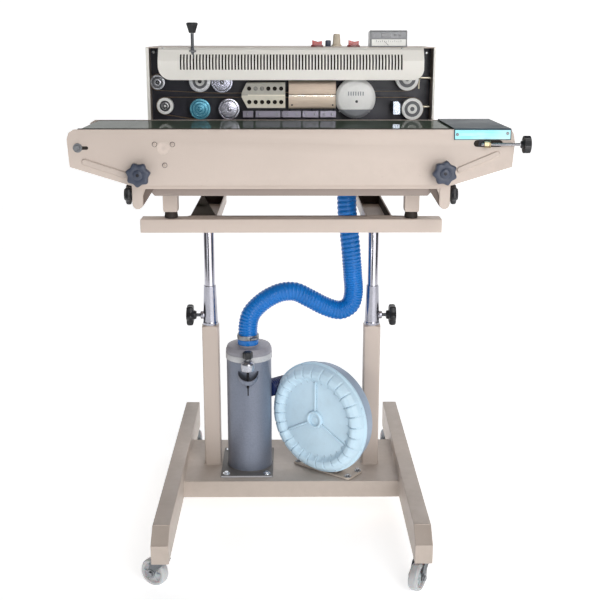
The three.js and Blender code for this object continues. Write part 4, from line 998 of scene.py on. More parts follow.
# slotted hole and its bolt at the infeed end
mb = MB()
sl = [(-398 + 3.2 * math.cos(t), 833.6 + 3.2 * math.sin(t)) for t in np.linspace(PI / 2, 3 * PI / 2, 12)] + [(-383.5 + 3.2 * math.cos(t), 833.6 + 3.2 * math.sin(t)) for t in np.linspace(-PI / 2, PI / 2, 12)]
mb.prism(sl, "y", -185.25, -184.0)
mb.obj("infeed_slot_shadow", "table", "black_plastic", SHADE_DARK)
mb = MB()
hexbolt(mb, (-400, -185.2, 833.9), "y", -1, 9.5, 3.6, rot=0.35)
hexbolt(mb, (-400, 35.2, 833.9), "y", 1, 9.5, 3.6, rot=0.1)
for x, z in ((-256, 840), (-222, 840), (200, 840), (60, 840)):
    screw(mb, (x, 35.0, z), "y", 1, 3.2, 1.8)
mb.obj("table_bolts", "table", "caster_zinc", ZINC, angle=40)

# belt: smooth closed loop, with a lap joint ridge across it
def belt_loop(r, n=36):
    return [(372 + r * math.cos(t), 841 + r * math.sin(t)) for t in np.linspace(-PI / 2, PI / 2, n)] + [(-392 + r * math.cos(t), 841 + r * math.sin(t)) for t in np.linspace(PI / 2, 3 * PI / 2, n)]


mb = MB()
lo, li = belt_loop(26.2), belt_loop(24.4)
n = len(lo)
y0, y1 = -181.6, 31.6
rings = [[(p[0], y, p[1]) for p in lp] for y, lp in ((y0 + 0.4, lo), (y1 - 0.4, lo), (y1, [((a[0] + b[0]) / 2, (a[1] + b[1]) / 2) for a, b in zip(lo, li)]), (y1 - 0.4, li), (y0 + 0.4, li), (y0, [((a[0] + b[0]) / 2, (a[1] + b[1]) / 2) for a, b in zip(lo, li)]))]
rings.append(rings[0])
mb.layers(rings, cap0=False, cap1=False)
mb.prism([(-331, -181.2), (-318, -181.2), (-304, 31.2), (-317, 31.2)], "z", 867.0, 867.32)
mb.obj("belt_loop", "table", "green_belt", BELT, replaces=("conveyor_belt",), angle=30)
RB = brushed("roller_face", (188, 190, 194), "x", 0.3)
for side, x in (("left", -392), ("right", 372)):
    T_ = turned("roller_end_" + side, (190, 192, 196), (x, 841), pitch=700)
    mb = MB()
    mb.lathe(fillet([(0, -182.2), (4.8, -182.2), (4.8, -180.8), (10, -180.8), (10.4, -179.6), (15, -179.6), (15.4, -180.5), (22.8, -180.5), (24, -179.4), (24, 29.4), (22.8, 30.5), (15.4, 30.5), (15, 29.6), (10.4, 29.6), (10, 30.8), (4.8, 30.8), (4.8, 32.2), (0, 32.2)], 0.25, 2), (x, 0, 841), "y", 64)
    mb.obj("roller_drum_" + side, "roller_%s_body" % side, "turned_aluminium", T_, replaces=("roller_" + side,), angle=35)
# cover over the delivery end
mb = MB()
prof = fillet([(36, 868.6), (36, 870.0), (-187, 870.0), (-187, 849.0), (-185.6, 849.0), (-185.6, 868.6)], [0.3, 0.4, 2.2, 0.3, 0.3, 1.2], 4, True)
mb.prism(prof, "x", 305, 412)
cover = mb.obj("delivery_cover", "table", "stainless", STEELCOVER, bevel=0.3, seg=2, replaces=("end_cover",), angle=60)
MB().prism([(306.5, 850.2), (410.5, 850.2), (410.5, 867.2), (306.5, 867.2)], "y", -187.22, -186.9).obj("delivery_skirt_film", "table", "stainless", FILM, bevel=0.1)
mb = MB()
screw(mb, (311, -187.2, 859), "y", -1, 2.9, 1.6); screw(mb, (405, -187.2, 861), "y", -1, 2.9, 1.6)
mb.obj("delivery_cover_screws", "table", "caster_zinc", ZINC, angle=40)
# black strip along the belt's front edge: painted shadow for the gap line between belt and table wall
mb = MB()
mb.box(-399, 304.4, -182.75, -181.95, 858, 869.9)
mb.obj("belt_edge_shadow_strip", "table", "black_plastic", FOOT, bevel=0.25)
# dark backing behind the adjustment slot, painted shade so the slot reads dark, and the bearing slide seen through the
# slot
mb = MB()
mb.box(340, 400, -182.6, -182.2, 833, 851)
mb.obj("slot_shade_backing", "table", "black_plastic", SHADE_DARK, bevel=0.1)
mb = MB()
mb.box(352, 371, -184.6, -182.7, 836.6, 847.4)
mb.obj("tension_slide_block", "table", "caster_zinc", DARKSTEEL, bevel=0.5)
# tension screw
mb = MB()
pr, h = [(0, 356.0), (2.6, 356.0)], 357.0
while h < 428:
    pr += [(3.0, h), (2.55, h + 0.5)]; h += 1.0
pr += [(3.0, 429), (3.0, 433), (0, 433)]
mb.lathe(pr, (0, -192.6, 841), "x", 20)
mb.obj("tension_thread", "tension_body", "caster_zinc", steel("bright_thread", (206, 206, 210), 0.26, 0.1), replaces=("tension_screw",), angle=60)
mb = MB()
mb.layers([[(x_, -192.6 + r_ * math.cos(t), 841 + r_ * math.sin(t)) for t in [2 * PI * i / 6 + 0.3 for i in range(6)]] for x_, r_ in ((361, 2.0), (361, 6.2), (370, 6.2), (370, 2.0))])
mb.lathe(fillet([(3.1, 370.5), (7.0, 370.5), (7.0, 372.4), (3.1, 372.4)], 0.2, 2), (0, -192.6, 841), "x", 32)
mb.obj("tension_nut", "tension_body", "white_plastic", steel("brass_nut", (170, 154, 124), 0.3, 0.1), bevel=0.6, angle=40)
mb = MB()
knurl_rows(16.3, 28, 0.9, 434, 447, mb, (0, -192.6, 841), "x")
mb.lathe(fillet([(0, 429.5), (6.6, 429.5), (7.4, 433), (11, 435), (0, 436)], 0.6, 3), (0, -192.6, 841), "x", 40)
mb.lathe(fillet([(0, 446.4), (11.5, 446.4), (10.5, 447.9), (0, 448.0)], 0.8, 3), (0, -192.6, 841), "x", 48)
mb.obj("tension_hand_wheel", "tension_body", "black_plastic", BLACK, angle=40)

for side, x, z, r0 in (("left", -286, 786, 0.15), ("right", 287, 789, 0.52)):
    b = "table_knob_%s_body" % side
    mb = MB()
    star_knob(mb, (x, 0, z), "y", 23.4, 7, 0.17, -197.4, -213.4, hub=0.42, dome=1.9, rot=r0)
    mb.lathe(fillet([(0, -185.6), (8.2, -185.6), (8.8, -189), (9.6, -196), (11, -198.5), (0, -199)], 0.8, 3), (x, 0, z), "y", 40)
    mb.obj("table_star_knob_" + side, b, "slate_plastic", KNOB, replaces=("table_knob_" + side,), angle=60)
    mb = MB().lathe(fillet([(0, -214.6), (3.6, -214.6), (3.2, -215.4), (0, -215.5)], 0.3, 2), (x, 0, z), "y", 28)
    mb.obj("table_knob_insert_" + side, b, "caster_zinc", DARKSTEEL)

# ------------------------------------------------------------------ sliding bracket under the table
cadcopy("table_bracket", "bracket_bar_and_lugs", "carriage", "beige_paint", BEIGE, bevel=1.2, seg=3)
# darker gusset triangles beside the lugs: painted shade
mb = MB()
for s in (-1, 1):
    mb.prism([(s * 283.2, 754.9), (s * 262, 754.9), (s * 283.2, 722)], "y", -170.5, -168.3)
mb.obj("bracket_gussets_painted_shade", "carriage", "beige_paint", paint("gusset_painted_shade", (112, 98, 90), darken_low=False), bevel=0.3)
for s, side in ((-1, "left"), (1, "right")):
    b = "side_knob_%s_body" % side
    mb = MB()
    star_knob(mb, (0, -164, 743), "x", 19.4, 6, 0.16, s * 305.6, s * 316.4, hub=0.6, dome=1.4, rot=0.3)
    mb.lathe(fillet([(0, s * 303.7), (11.6, s * 303.7), (12, s * 306.5), (0, s * 307)], 0.5, 3), (0, -164, 743), "x", 40)
    mb.lathe(fillet([(0, s * 316.2), (11.8, s * 316.2), (11.2, s * 319.2), (0, s * 319.4)], 0.8, 3), (0, -164, 743), "x", 40)
    mb.obj("side_star_knob_" + side, b, "black_plastic", BLACK, replaces=("side_knob_" + side,), angle=60)
    MB().lathe([(0, s * 286.2), (3.8, s * 286.2), (3.8, s * 303.8), (0, s * 303.8)], (0, -164, 743), "x", 24).obj("side_knob_stem_" + side, b, "caster_zinc", ZINC)
print("table done")

# ------------------------------------------------------------------ sealing head: cover and panel
cadcopy("head_cover", "head_folded_cover", "lift", "beige_paint", BEIGE, bevel=2.0, seg=4)
mb = MB()
px = 295.4
mb.prism([(-px, 757.3), (px, 757.3), (px, 1011.7), (-px, 1011.7)], "y", 105, 108)
mb.obj("head_panel_plate", "lift", "black_panel", PANEL, bevel=0.6, replaces=("head_panel",))
GR = brushed("guide_rail_steel", (150, 146, 160), "x", 0.3)
mb = MB()
for a, b in ((-101, -79), (-74.5, -22.5), (-17, 21), (24, 58), (61, 94)):
    mb.box(a, b, 56, 58.6, 871, 884.5)
for x in (-96, -20, 60):
    mb.box(x, x + 14, 58.2, 105.2, 872, 883)
mb.obj("guide_rail_blocks", "lift", "turned_aluminium", GR, bevel=0.6)
mb = MB()
mb.box(-101.5, 94.5, 58.7, 60.0, 869.5, 873.5)
mb.box(-101.5, 94.5, 58.7, 60.0, 883.5, 887.5)
mb.obj("guide_rail_back", "lift", "black_panel", DARKSTEEL, bevel=0.3)
mb = MB()
for x in (-92, -67, -30, -8, 12, 32, 50, 70, 86):
    screw(mb, (x, 55.9, 877.6), "y", -1, 2.4, 1.3)
mb.obj("guide_rail_screws", "lift", "caster_zinc", ZINC, angle=40)
mb = MB()
mb.prism(fillet([(214, 877), (229, 877), (229, 898), (224, 904), (214, 904)], 1.2, 3, True), "y", 57, 59.5)
mb.box(214.4, 228.6, 58.5, 105.2, 878, 880.6)
mb.box(214.4, 216.8, 58.5, 105.2, 878, 903)
mb.obj("scraper_bracket", "lift", "turned_aluminium", brushed("scraper_steel", (196, 206, 220), "z", 0.2), bevel=0.4)
mb = MB()
for x, z in ((-289.5, 1003), (286.5, 1002), (-288, 770), (288, 770)):
    screw(mb, (x, 105.0, z), "y", -1, 3.4, 1.8)
mb.obj("panel_screws", "lift", "caster_zinc", steel("bright_screw", (220, 222, 226), 0.25, 0.1), angle=40)
mb = MB()
for (x0, x1, z) in ((271.5, 292.5, 951.6), (274.5, 290.2, 892.6)):
    mb.tube([(x0, 74, z), (x1, 74, z)], 2.2, 20)
mb.tube([(271.8, 74, 951.6), (268.2, 68, 948), (267.4, 66.5, 941), (267.4, 66.5, 929.5)], 1.5, 14)
mb.tube([(292.3, 74, 951.6), (292.3, 104.8, 951.6)], 2.2, 16)
mb.tube([(290.1, 74, 892.6), (290.1, 104.8, 892.6)], 2.2, 16)
mb.obj("tension_pins", "lift", "chrome_tube", chrome("pin_ivory_plate", (230, 222, 200), 0.25, "x"), angle=40)
# front rim strips of the cover in the whiter guard paint: a painted highlight along the lit front edges
mb = MB()
for x0, x1 in ((-298.0, -291.6), (293.4, 298.0)):
    mb.prism(fillet([(x0, 43.4), (x1, 43.4), (x1, 46.2), (x0, 46.2)], 1.1, 3, True), "z", 756.2, 1013.4)
mb.obj("cover_front_rim_highlight", "lift", "beige_paint", GUARD, angle=40)
# back of the cover: louvres and screws
mb = MB()
for r in range(3):
    for q in range(9):
        x0 = -230 + q * 52; z = 830 + r * 44
        pts = []
        for j in range(9):
            t = PI * j / 8
            pts.append((285.0 - 0.3 + 4.2 * math.sin(t) * (1 if j < 5 else 0.85), z + 6 - 12 * j / 8))
        V = []
        for i in range(13):
            u = i / 12; e = math.sin(PI * min(1, max(0, u))) ** 0.35 if 0 < u < 1 else 0.0
            V.append([(x0 + 40 * u, 285.0 - 0.3 + (p[0] - 284.7) * e, p[1]) for p in pts])
        n0 = len(mb.v)
        flat = [p for row in V for p in row]
        mb.add(flat, [(i * 9 + j, i * 9 + j + 1, (i + 1) * 9 + j + 1, (i + 1) * 9 + j) for i in range(12) for j in range(8)])
mb.obj("rear_louvres", "lift", "beige_paint", BEIGE, angle=60)
mb = MB()
for x in (-284, 0, 284):
    for z in (772, 998):
        screw(mb, (x, 285.0, z), "y", 1, 3.6, 2.0)
for s in (-1, 1):
    for y in (70, 255):
        for z in (775, 996):
            screw(mb, (s * 298, y, z), "x", s, 3.4, 1.9)
mb.obj("cover_screws", "lift", "caster_zinc", ZINC, angle=40)

# geared motor behind the panel
mb = MB()
mb.box(205, 285, 108.4, 160, 865, 975)
mb.obj("gearbox_case", "lift", "motor_grey", MOTOR, bevel=5, seg=4, replaces=("drive_motor",))
mb = MB()
prof = [(0, 159.5), (31.5, 159.5)]
h = 163
while h < 236:
    prof += [(31.8, h), (31.8, h + 1.4), (28.4, h + 1.6), (28.4, h + 3.4)]; h += 4.0
prof += [(31, 238), (30, 243), (24, 245), (0, 245)]
mb.lathe(prof, (245, 0, 920), "y", 48)
for q in range(6):
    a = 2 * PI * q / 6 + 0.3
hexbolt(mb, (215, 160, 965), "y", 1, 7, 3, rot=0.1); hexbolt(mb, (275, 160, 965), "y", 1, 7, 3, rot=0.4)
hexbolt(mb, (215, 160, 875), "y", 1, 7, 3, rot=0.2); hexbolt(mb, (275, 160, 875), "y", 1, 7, 3, rot=0.6)
mb.obj("motor_body", "lift", "motor_grey", MOTOR, angle=40)

# ------------------------------------------------------------------ guard with its real row of slots
def guard():
    poly = [(44.7, 1013.4), (38.0, 1009.0), (24.0, 987.0), (24.0, 949.0)]
    line = fillet(poly, [0, 2.5, 5.0, 0], 6)
    # insert the slot ends
    P2 = [line[0]]
    for a, b in zip(line, line[1:]):
        for zc in (1000.5, 969.5):
            if (a[1] - zc) * (b[1] - zc) < 0:
                t = (a[1] - zc) / (a[1] - b[1])
                P2.append((a[0] + t * (b[0] - a[0]), zc))
        P2.append(b)
    rows = []
    for y, z in P2:
        if not rows or math.hypot(rows[-1][0] - y, rows[-1][1] - z) > 0.15:
            rows.append((y, z))
    # split the lower apron
    low = [r for r in rows if r[1] > 950]
    for k in range(1, 9):
        low.append((24.0, 969.5 + (949.0 - 969.5) * k / 8))
    rows = low
    x0, x1, r0, r1 = -271.5, 272.0, 27.0, 22.0
    xs = [x0 + r0 * (1 - math.cos(PI / 2 * k / 14)) for k in range(15)]
    xs += list(np.linspace(x0 + r0, -228, 6))[1:]
    zone = []
    pitch, w = 6.535, 3.25
    first = -226.4
    for k in range(70):
        a = first + k * pitch
        zone.append((len(xs), len(xs) + 1)); xs += [a, a + w]
    xs += list(np.linspace(xs[-1] + 3.3, x1 - r1, 5))
    xs += [x1 - r1 + r1 * math.sin(PI / 2 * k / 14) for k in range(1, 15)]
    def zlow(x):
        if x < x0 + r0: return 949 + r0 - math.sqrt(max(0, r0 * r0 - (x0 + r0 - x) ** 2))
        if x > x1 - r1: return 949 + r1 - math.sqrt(max(0, r1 * r1 - (x - x1 + r1) ** 2))
        return 949.0
    ztop = 984.0
    V = []
    for x in xs:
        zl = zlow(x)
        for y, z in rows:
            V.append((x, y, z if z > ztop else ztop - (ztop - z) * (ztop - zl) / (ztop - 949.0)))
    R = len(rows)
    sl = {a for a, b in zone}
    zr = [i for i, (y, z) in enumerate(rows) if 969.4 <= z <= 1000.6]
    F = []
    for i in range(len(xs) - 1):
        for j in range(R - 1):
            if i in sl and j >= zr[0] and j < zr[-1]:
                continue
            F.append((i * R + j, i * R + j + 1, (i + 1) * R + j + 1, (i + 1) * R + j))
    mb = MB(); mb.add(V, F)
    o = mb.obj("guard_slotted", "lift", "guard_paint", GUARD, replaces=("guard_cover",), angle=30)
    m = o.modifiers.new("sheet", "SOLIDIFY"); m.thickness = 0.0015; m.offset = -1; m.use_even_offset = True
    b = o.modifiers.new("edges", "BEVEL"); b.width = 0.0003; b.segments = 1; b.limit_method = "ANGLE"; b.angle_limit = math.radians(50); b.harden_normals = True
    # outward is towards -Y: solidify must grow inwards
    bm = bmesh.new(); bm.from_mesh(o.data); bm.faces.ensure_lookup_table()
    f = max(bm.faces, key=lambda q: q.calc_area())
    if f.normal.y > 0: bmesh.ops.reverse_faces(bm, faces=bm.faces); bm.to_mesh(o.data)
    bm.free()
    return o


guard()
# dark, fabric-like plate inside the guard where the guard's folded back plate sits: painted shade so the slots read
# dark
mb = MB()
mb.prism([(30.5, 962), (31.5, 962), (31.5, 988.5), (43.5, 1006.5), (42.5, 1007.0), (30.5, 989.0)], "x", -262, 262)
mb.obj("guard_inner_shade_baffle", "lift", "black_panel", SHADE_DARK, bevel=0.2)
mb = MB()
screw(mb, (228, 41.6, 1011.6), "z", 1, 3.0, 1.6); screw(mb, (-262, 41.6, 1011.6), "z", 1, 3.0, 1.6)
mb.obj("guard_screws", "lift", "caster_zinc", steel("bright_screw2", (226, 228, 230), 0.25, 0.1), angle=40)

# ------------------------------------------------------------------ wheels of the head
def rw(name, node, c, segs, shaft=True):
    """segs: (r0, r1, front y, material, slot), rings of one wheel."""
    body = node + "_body"
    first = True
    for i, (r0, r1, yf, m, sl) in enumerate(segs):
        mb = MB()
        if r0 <= 0:
            pr = fillet([(0, yf - 0.4), (r1 * 0.7, yf - 0.25), (r1, yf), (r1, 80 if i == 0 else yf + 3), (0, 80 if i == 0 else yf + 3)], [0, 0.3, 0.5, 0, 0], 3)
        else:
            q = min(0.8, (r1 - r0) * 0.3)
            pr = fillet([(r0, yf), (r1, yf), (r1, 80 if i == 0 else yf + 3), (r0, 80 if i == 0 else yf + 3)], [q, q, 0.3, 0], 4)
            pr = pr + [pr[0]]
        mb.lathe(pr, (c[0], 0, c[1]), "y", 72)
        mb.obj("%s_ring%d" % (name, i), body, sl, m, replaces=(node,) if first else (), angle=40)
        first = False
    mb = MB().lathe([(0, 66), (5.5, 66), (5.5, 104.6), (0, 104.6)], (c[0], 0, c[1]), "y", 28)
    mb.obj(name + "_shaft", body, "turned_aluminium", ZINC)


DK = plastic("dark_annulus", (54, 54, 58), rough=0.35, bump=0.1)
GREYR = plastic("grey_annulus", (110, 112, 116), rough=0.4, bump=0.1)
c = (-278, 942.6)
A = turned("idler_upper_face", (206, 208, 214), c)
rw("idler_upper", "idler_upper", c, [(11.6, 15.5, 62.0, A, "turned_aluminium"), (7.6, 11.7, 64.2, GREYR, "turned_aluminium"), (4.4, 7.7, 62.8, A, "turned_aluminium"), (1.6, 4.5, 63.8, DK, "turned_aluminium"), (0, 1.7, 62.8, ZINC, "turned_aluminium")])
c = (-264, 894)
rw("idler_lower", "idler_lower", c, [(11.2, 17.0, 62.0, WHITE, "white_plastic"), (8.0, 11.3, 64.0, DK, "white_plastic"), (5.2, 8.1, 62.8, turned("idler_lower_face", (190, 190, 192), c), "white_plastic"), (2.4, 5.3, 63.8, DK, "white_plastic"), (0, 2.5, 62.6, WHITE, "white_plastic")])
c = (-190, 944.8)
A = turned("emboss_face", (244, 246, 250), c, metal=0.55)
rw("embossing", "embossing_wheel", c, [(15.2, 22.3, 61.0, A, "turned_aluminium"), (9.6, 15.3, 63.4, GREYR, "turned_aluminium"), (4.2, 9.7, 61.2, WHITE, "turned_aluminium"), (0, 4.7, 62.6, DK, "turned_aluminium")])
c = (-144, 943.4)
A = turned("press_upper_face", (206, 208, 224), c, rough=0.16)
rw("press_upper", "press_wheel_upper", c, [(18.6, 22.3, 61.6, A, "turned_aluminium"), (17.2, 18.7, 62.6, GREYR, "turned_aluminium"), (5.0, 17.3, 61.8, A, "turned_aluminium"), (2.2, 5.1, 63, GREYR, "turned_aluminium"), (0, 2.3, 62, A, "turned_aluminium")])
c = (-190.6, 887.6)
A = turned("guide_lower_face", (120, 200, 226), c, rough=0.2, metal=0.55, stain=0.15)
A2 = turned("guide_lower_dark", (46, 128, 160), c, rough=0.25, metal=0.5)
rw("guide_lower", "guide_wheel_lower", c, [(17.6, 21.5, 61.8, A, "blue_rubber"), (15.9, 17.7, 63.0, A2, "blue_rubber"), (11.4, 16.0, 62.0, A, "blue_rubber"), (9.8, 11.5, 63.0, A2, "blue_rubber"), (5.4, 9.9, 62.2, A, "blue_rubber"), (3.6, 5.5, 63.2, A2, "blue_rubber"), (0, 3.7, 62.0, A, "blue_rubber")])
c = (-130, 887.6)
A = turned("press_lower_face", (222, 222, 236), c, rough=0.18)
rw("press_lower", "press_wheel_lower", c, [(18.4, 22.0, 61.6, A, "turned_aluminium"), (17.0, 18.5, 62.8, DK, "turned_aluminium"), (4.6, 17.1, 61.9, A, "turned_aluminium"), (3.0, 4.7, 63.2, DK, "turned_aluminium"), (0, 3.1, 62.2, A, "turned_aluminium")])
for nm, node, c, r in (("drive_upper", "drive_wheel_upper", (242.4, 950), 24.0), ("drive_lower", "drive_wheel_lower", (254.7, 888.1), 22.5)):
    rw(nm, node, c, [(0.73 * r, r, 61.4, WHITE, "white_plastic"), (0.44 * r, 0.74 * r, 62.8, GREYR, "white_plastic"), (0.20 * r, 0.45 * r, 61.4, WHITE, "white_plastic"), (0, 0.21 * r, 62.4, GREYR, "white_plastic")])
    mb = MB()
    for q in range(4):
        a = PI / 4 + q * PI / 2
        mb.lathe(fillet([(0, 63.0), (1.5, 63.0), (1.5, 63.6), (0, 63.6)], 0.2, 2), (c[0] + 0.59 * r * math.cos(a), 0, c[1] + 0.59 * r * math.sin(a)), "y", 16)
    mb.obj(nm + "_set_screws", node + "_body", "turned_aluminium", ZINC)

# sealing bands
def hull2(discs, off, n=96):
    p = sorted((x + (r + off) * math.cos(2 * PI * k / n), z + (r + off) * math.sin(2 * PI * k / n)) for x, z, r in discs for k in range(n))
    cr = lambda o, a, b: (a[0] - o[0]) * (b[1] - o[1]) - (a[1] - o[1]) * (b[0] - o[0])
    def half(it):
        h = []
        for q in it:
            while len(h) > 1 and cr(h[-2], h[-1], q) <= 0: h.pop()
            h.append(q)
        return h[:-1]
    return half(p) + half(p[::-1])


for nm, discs in (("upper", [(-278, 942.6, 15.5), (-190, 944.8, 22.3), (-144, 943.4, 22.3), (242.4, 950, 24)]), ("lower", [(-264, 894, 17), (-190.6, 887.6, 21.5), (-130, 887.6, 22), (254.7, 888.1, 22.5)])):
    mb = MB().prism(hull2(discs, 1.4), "y", 64, 78, [hull2(discs, 0.6)])
    mb.obj("band_" + nm, "lift", "sealing_band", BAND, replaces=("sealing_band_" + nm,), angle=30)

# ------------------------------------------------------------------ heater, cooler, fan
for part_, z0_, z1_, m in (("upper", 917.4, 943, CREAM_UP), ("lower", 891, 916.8, CREAM)):
    zc = 930.5 if part_ == "upper" else 903
    out = [(-92, z1_), (-12, z1_), (-12, z0_), (-103, z0_), (-103, 921.5)] if part_ == "upper" else [(-103, z1_), (-12, z1_), (-12, z0_), (-91, z0_), (-103, 913)]
    out = fillet(out, 1.0, 2, True)
    holes = [ring((-87 + k * 13.3, zc), 4.5, 28) for k in range(6)]
    mb = MB().prism(out, "y", 50, 54.5, holes)
    mb.obj("heater_plate_" + part_, "lift", "cream_cover", m, bevel=0.35, seg=2, replaces=("heater_block",), angle=50)
    # dark plate behind the heater holes: painted shade so the holes read deep
    mb = MB()
    za, zb = (918, 942) if part_ == "upper" else (892, 916)
    mb.prism([(-90, zb), (-13, zb), (-13, za), (-100, za), (-100, za + 4)] if part_ == "upper" else [(-100, zb), (-13, zb), (-13, za), (-90, za), (-100, zb - 4)], "y", 57.5, 60)
    mb.obj("heater_hole_shade_backing_" + part_, "lift", "cream_cover", SHADE_DARK, bevel=0.3)
    mb = MB()
    if part_ == "upper": mb.box(-92, -12.6, 60, 99.5, 929.4, 942.4); mb.box(-92, -12.6, 88.6, 99.5, 918, 930)
    else: mb.box(-92, -12.6, 60, 99.5, 891.6, 906.6); mb.box(-92, -12.6, 88.6, 99.5, 906, 916)
    mb.obj("heater_core_" + part_, "lift", "cream_cover", brushed("brass_core_" + part_, (176, 148, 96), "x", 0.35), bevel=0.5)
mb = MB()
for k in (1, 2):
    mb.lathe(fillet([(0, 51.6), (4.2, 51.6), (4.4, 52.4), (4.4, 56), (0, 56)], 0.3, 2), (-87 + k * 13.3, 0, 930.5), "y", 28)
mb.obj("heater_hole_plugs", "lift", "cream_cover", steel("dull_plug", (150, 148, 144), 0.5, 0.3))

for part_, z0_, z1_ in (("upper", 917.5, 946), ("lower", 889, 916.7)):
    if part_ == "upper": pf = fillet([(52, 917.5), (60, 917.5), (60, 929), (88, 929), (88, 917.5), (100, 917.5), (100, 946), (54, 946)], [2.2, 0.5, 0.5, 0.5, 0.5, 0.5, 1, 7], 6, True)
    else: pf = fillet([(54, 889), (100, 889), (100, 916.7), (88, 916.7), (88, 907), (60, 907), (60, 916.7), (51.6, 916.7)], [7, 1, 0.5, 0.5, 0.5, 0.5, 0.5, 3.4], 6, True)
    mb = MB().prism(pf, "x", -5, 93.5)
    # upper cover in the darker tan (painted shade), lower in the lighter tan (painted light)
    mb.obj("cooler_cover_" + part_, "lift", "tan_cover", TAN if part_ == "upper" else TAN_LIT_LOWER, replaces=("cooler_block",), bevel=0.6, angle=40)
# bright strips along the cooler and heater seams: painted highlights for the lit edges at the seams
MB().box(-4.6, 93.2, 51.2, 52.6, 914.6, 917.2).obj("cooler_seam_highlight_strip", "lift", "tan_cover", steel("seam_painted_highlight", (246, 240, 230), 0.22, 0.05), bevel=0.35)
MB().box(-90, -12.2, 49.6, 50.6, 915.6, 918.4).obj("heater_seam_highlight_strip", "lift", "cream_cover", anodised("seam_cream_painted_highlight", (244, 238, 222), 0.35, stain=0.1), bevel=0.3)
mb = MB()
for x in (2, 87):
    screw(mb, (x, 52.2, 897), "y", -1, 1.8, 1.0)
for x in (-2, 20, 44, 68, 90):
    mb.tube([(x, 58, 889.5), (x, 58, 884)], 1.6, 12)
mb.obj("cooler_posts", "lift", "turned_aluminium", DARKSTEEL, angle=40)


def cut_obj(o, co, no, fill=True):
    bm = bmesh.new(); bm.from_mesh(o.data)
    res = bmesh.ops.bisect_plane(bm, geom=bm.verts[:] + bm.edges[:] + bm.faces[:], plane_co=W(co), plane_no=no, clear_outer=True)
    if fill:
        edges = [e for e in res["geom_cut"] if isinstance(e, bmesh.types.BMEdge)]
        bmesh.ops.holes_fill(bm, edges=edges, sides=0)
    bmesh.ops.recalc_face_normals(bm, faces=bm.faces)
    bm.to_mesh(o.data); bm.free()
    o.data.shade_smooth(); o.data.set_sharp_from_angle(angle=math.radians(35))


FAN_GREY = plastic("fan_lower_grey", (150, 152, 158), rough=0.3, bump=0.08)
for part_, m in (("upper", WHITE), ("lower", FAN_GREY)):
    pr = fillet([(0, 40.0), (26, 40.6), (36, 42.2), (41.8, 48), (42, 58), (0, 58)], [0, 4, 6, 3, 0.4, 0], 6)
    if part_ == "lower": pr = [(max(0, r * 0.985), h_ + 0.5) for r, h_ in pr]
    o = MB().lathe(pr, (134, 0, 911), "y", 96).obj("fan_shell_" + part_, "lift", "white_plastic", m, replaces=("fan_cover",) if part_ == "upper" else (), angle=35)
    cut_obj(o, (94.2, 0, 0), (-1, 0, 0))
    cut_obj(o, (0, 0, 888.5), (0, 0, -1) if part_ == "upper" else (0, 0, 1))
mb = MB()
for x, z in ((101, 884.5), (163, 884)):
    screw(mb, (x, 47.5, z), "y", -1, 1.9, 1.2)
mb.obj("fan_shell_screws", "lift", "caster_zinc", ZINC, angle=40)
MB().lathe(fillet([(0, 40.05), (3.0, 40.05), (2.6, 39.5), (0, 39.4)], 0.3, 2), (136, 0, 905), "y", 24).obj("fan_centre_stud", "lift", "white_plastic", DK)
# louvre marks moulded in the fan shell
mb = MB()
for k in range(7):
    mb.box(118 + k * 5, 120.4 + k * 5, 39.75, 41.2, 917, 925)
mb.obj("fan_louvres", "lift", "white_plastic", FAN_GREY, bevel=0.3)
MB().box(121, 147, 58, 104.6, 881, 905).obj("fan_duct", "lift", "white_plastic", FAN_GREY, bevel=1.2)
print("head done")

# ------------------------------------------------------------------ controls on top of the head
TOPZ = 1014.6
for nm, node, x0, x1 in (("power", "power_switch", 42, 66), ("fan", "fan_switch", 117, 142)):
    xm = (x0 + x1) / 2
    # frame stays with the rocker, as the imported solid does
    mb = MB()
    pr = fillet([(x0 + 1.6, 1018.4), (x1 - 1.6, 1018.4), (x1 - 1.6, 1026.8), (xm + 1.5, 1025.0), (x0 + 1.6, 1028.4)], [0.4, 0.4, 1.0, 3.0, 1.0], 5, True)
    mb.prism(pr, "y", 62, 78)
    mb.obj("%s_rocker" % nm, "%s_switch_body" % nm, "red_plastic", RED, bevel=0.6, seg=3, replaces=(node,), angle=30)
    mb = MB()
    mb.prism(rrect(x0 - 0.6, x1 + 0.6, 59.4, 80.6, 1.6), "z", TOPZ + 0.05, 1018.2, [rrect(x0 + 1.4, x1 - 1.4, 61.4, 78.6, 0.8)])
    mb.obj("%s_switch_bezel" % nm, "lift", "red_plastic", plastic("dark_red_bezel_" + nm, (120, 30, 28), rough=0.25, bump=0.05, coat=0.3), bevel=0.4, seg=2)
    MB().box(xm + 5, xm + 6.2, 67, 73, 1024.0, 1025.0).obj("%s_switch_mark" % nm, "%s_switch_body" % nm, "white_plastic", WHITE)
mb = MB()
knurl_rows(5.9, 18, 0.5, TOPZ + 2.2, TOPZ + 13.0, mb, (77, 70, 0), "z")
mb.lathe(fillet([(0, TOPZ + 12.9), (4.6, TOPZ + 12.9), (4.2, TOPZ + 13.4), (0, TOPZ + 13.4)], 0.3, 3), (77, 70, 0), "z", 32)
mb.lathe(fillet([(0, TOPZ + 0.6), (6.6, TOPZ + 0.6), (6.6, TOPZ + 2.4), (0, TOPZ + 2.4)], 0.4, 3), (77, 70, 0), "z", 36)
mb.obj("speed_knob_knurled", "speed_knob_body", "slate_plastic", KNOB, replaces=("speed_knob",), angle=50)
mb = MB()
rings = []
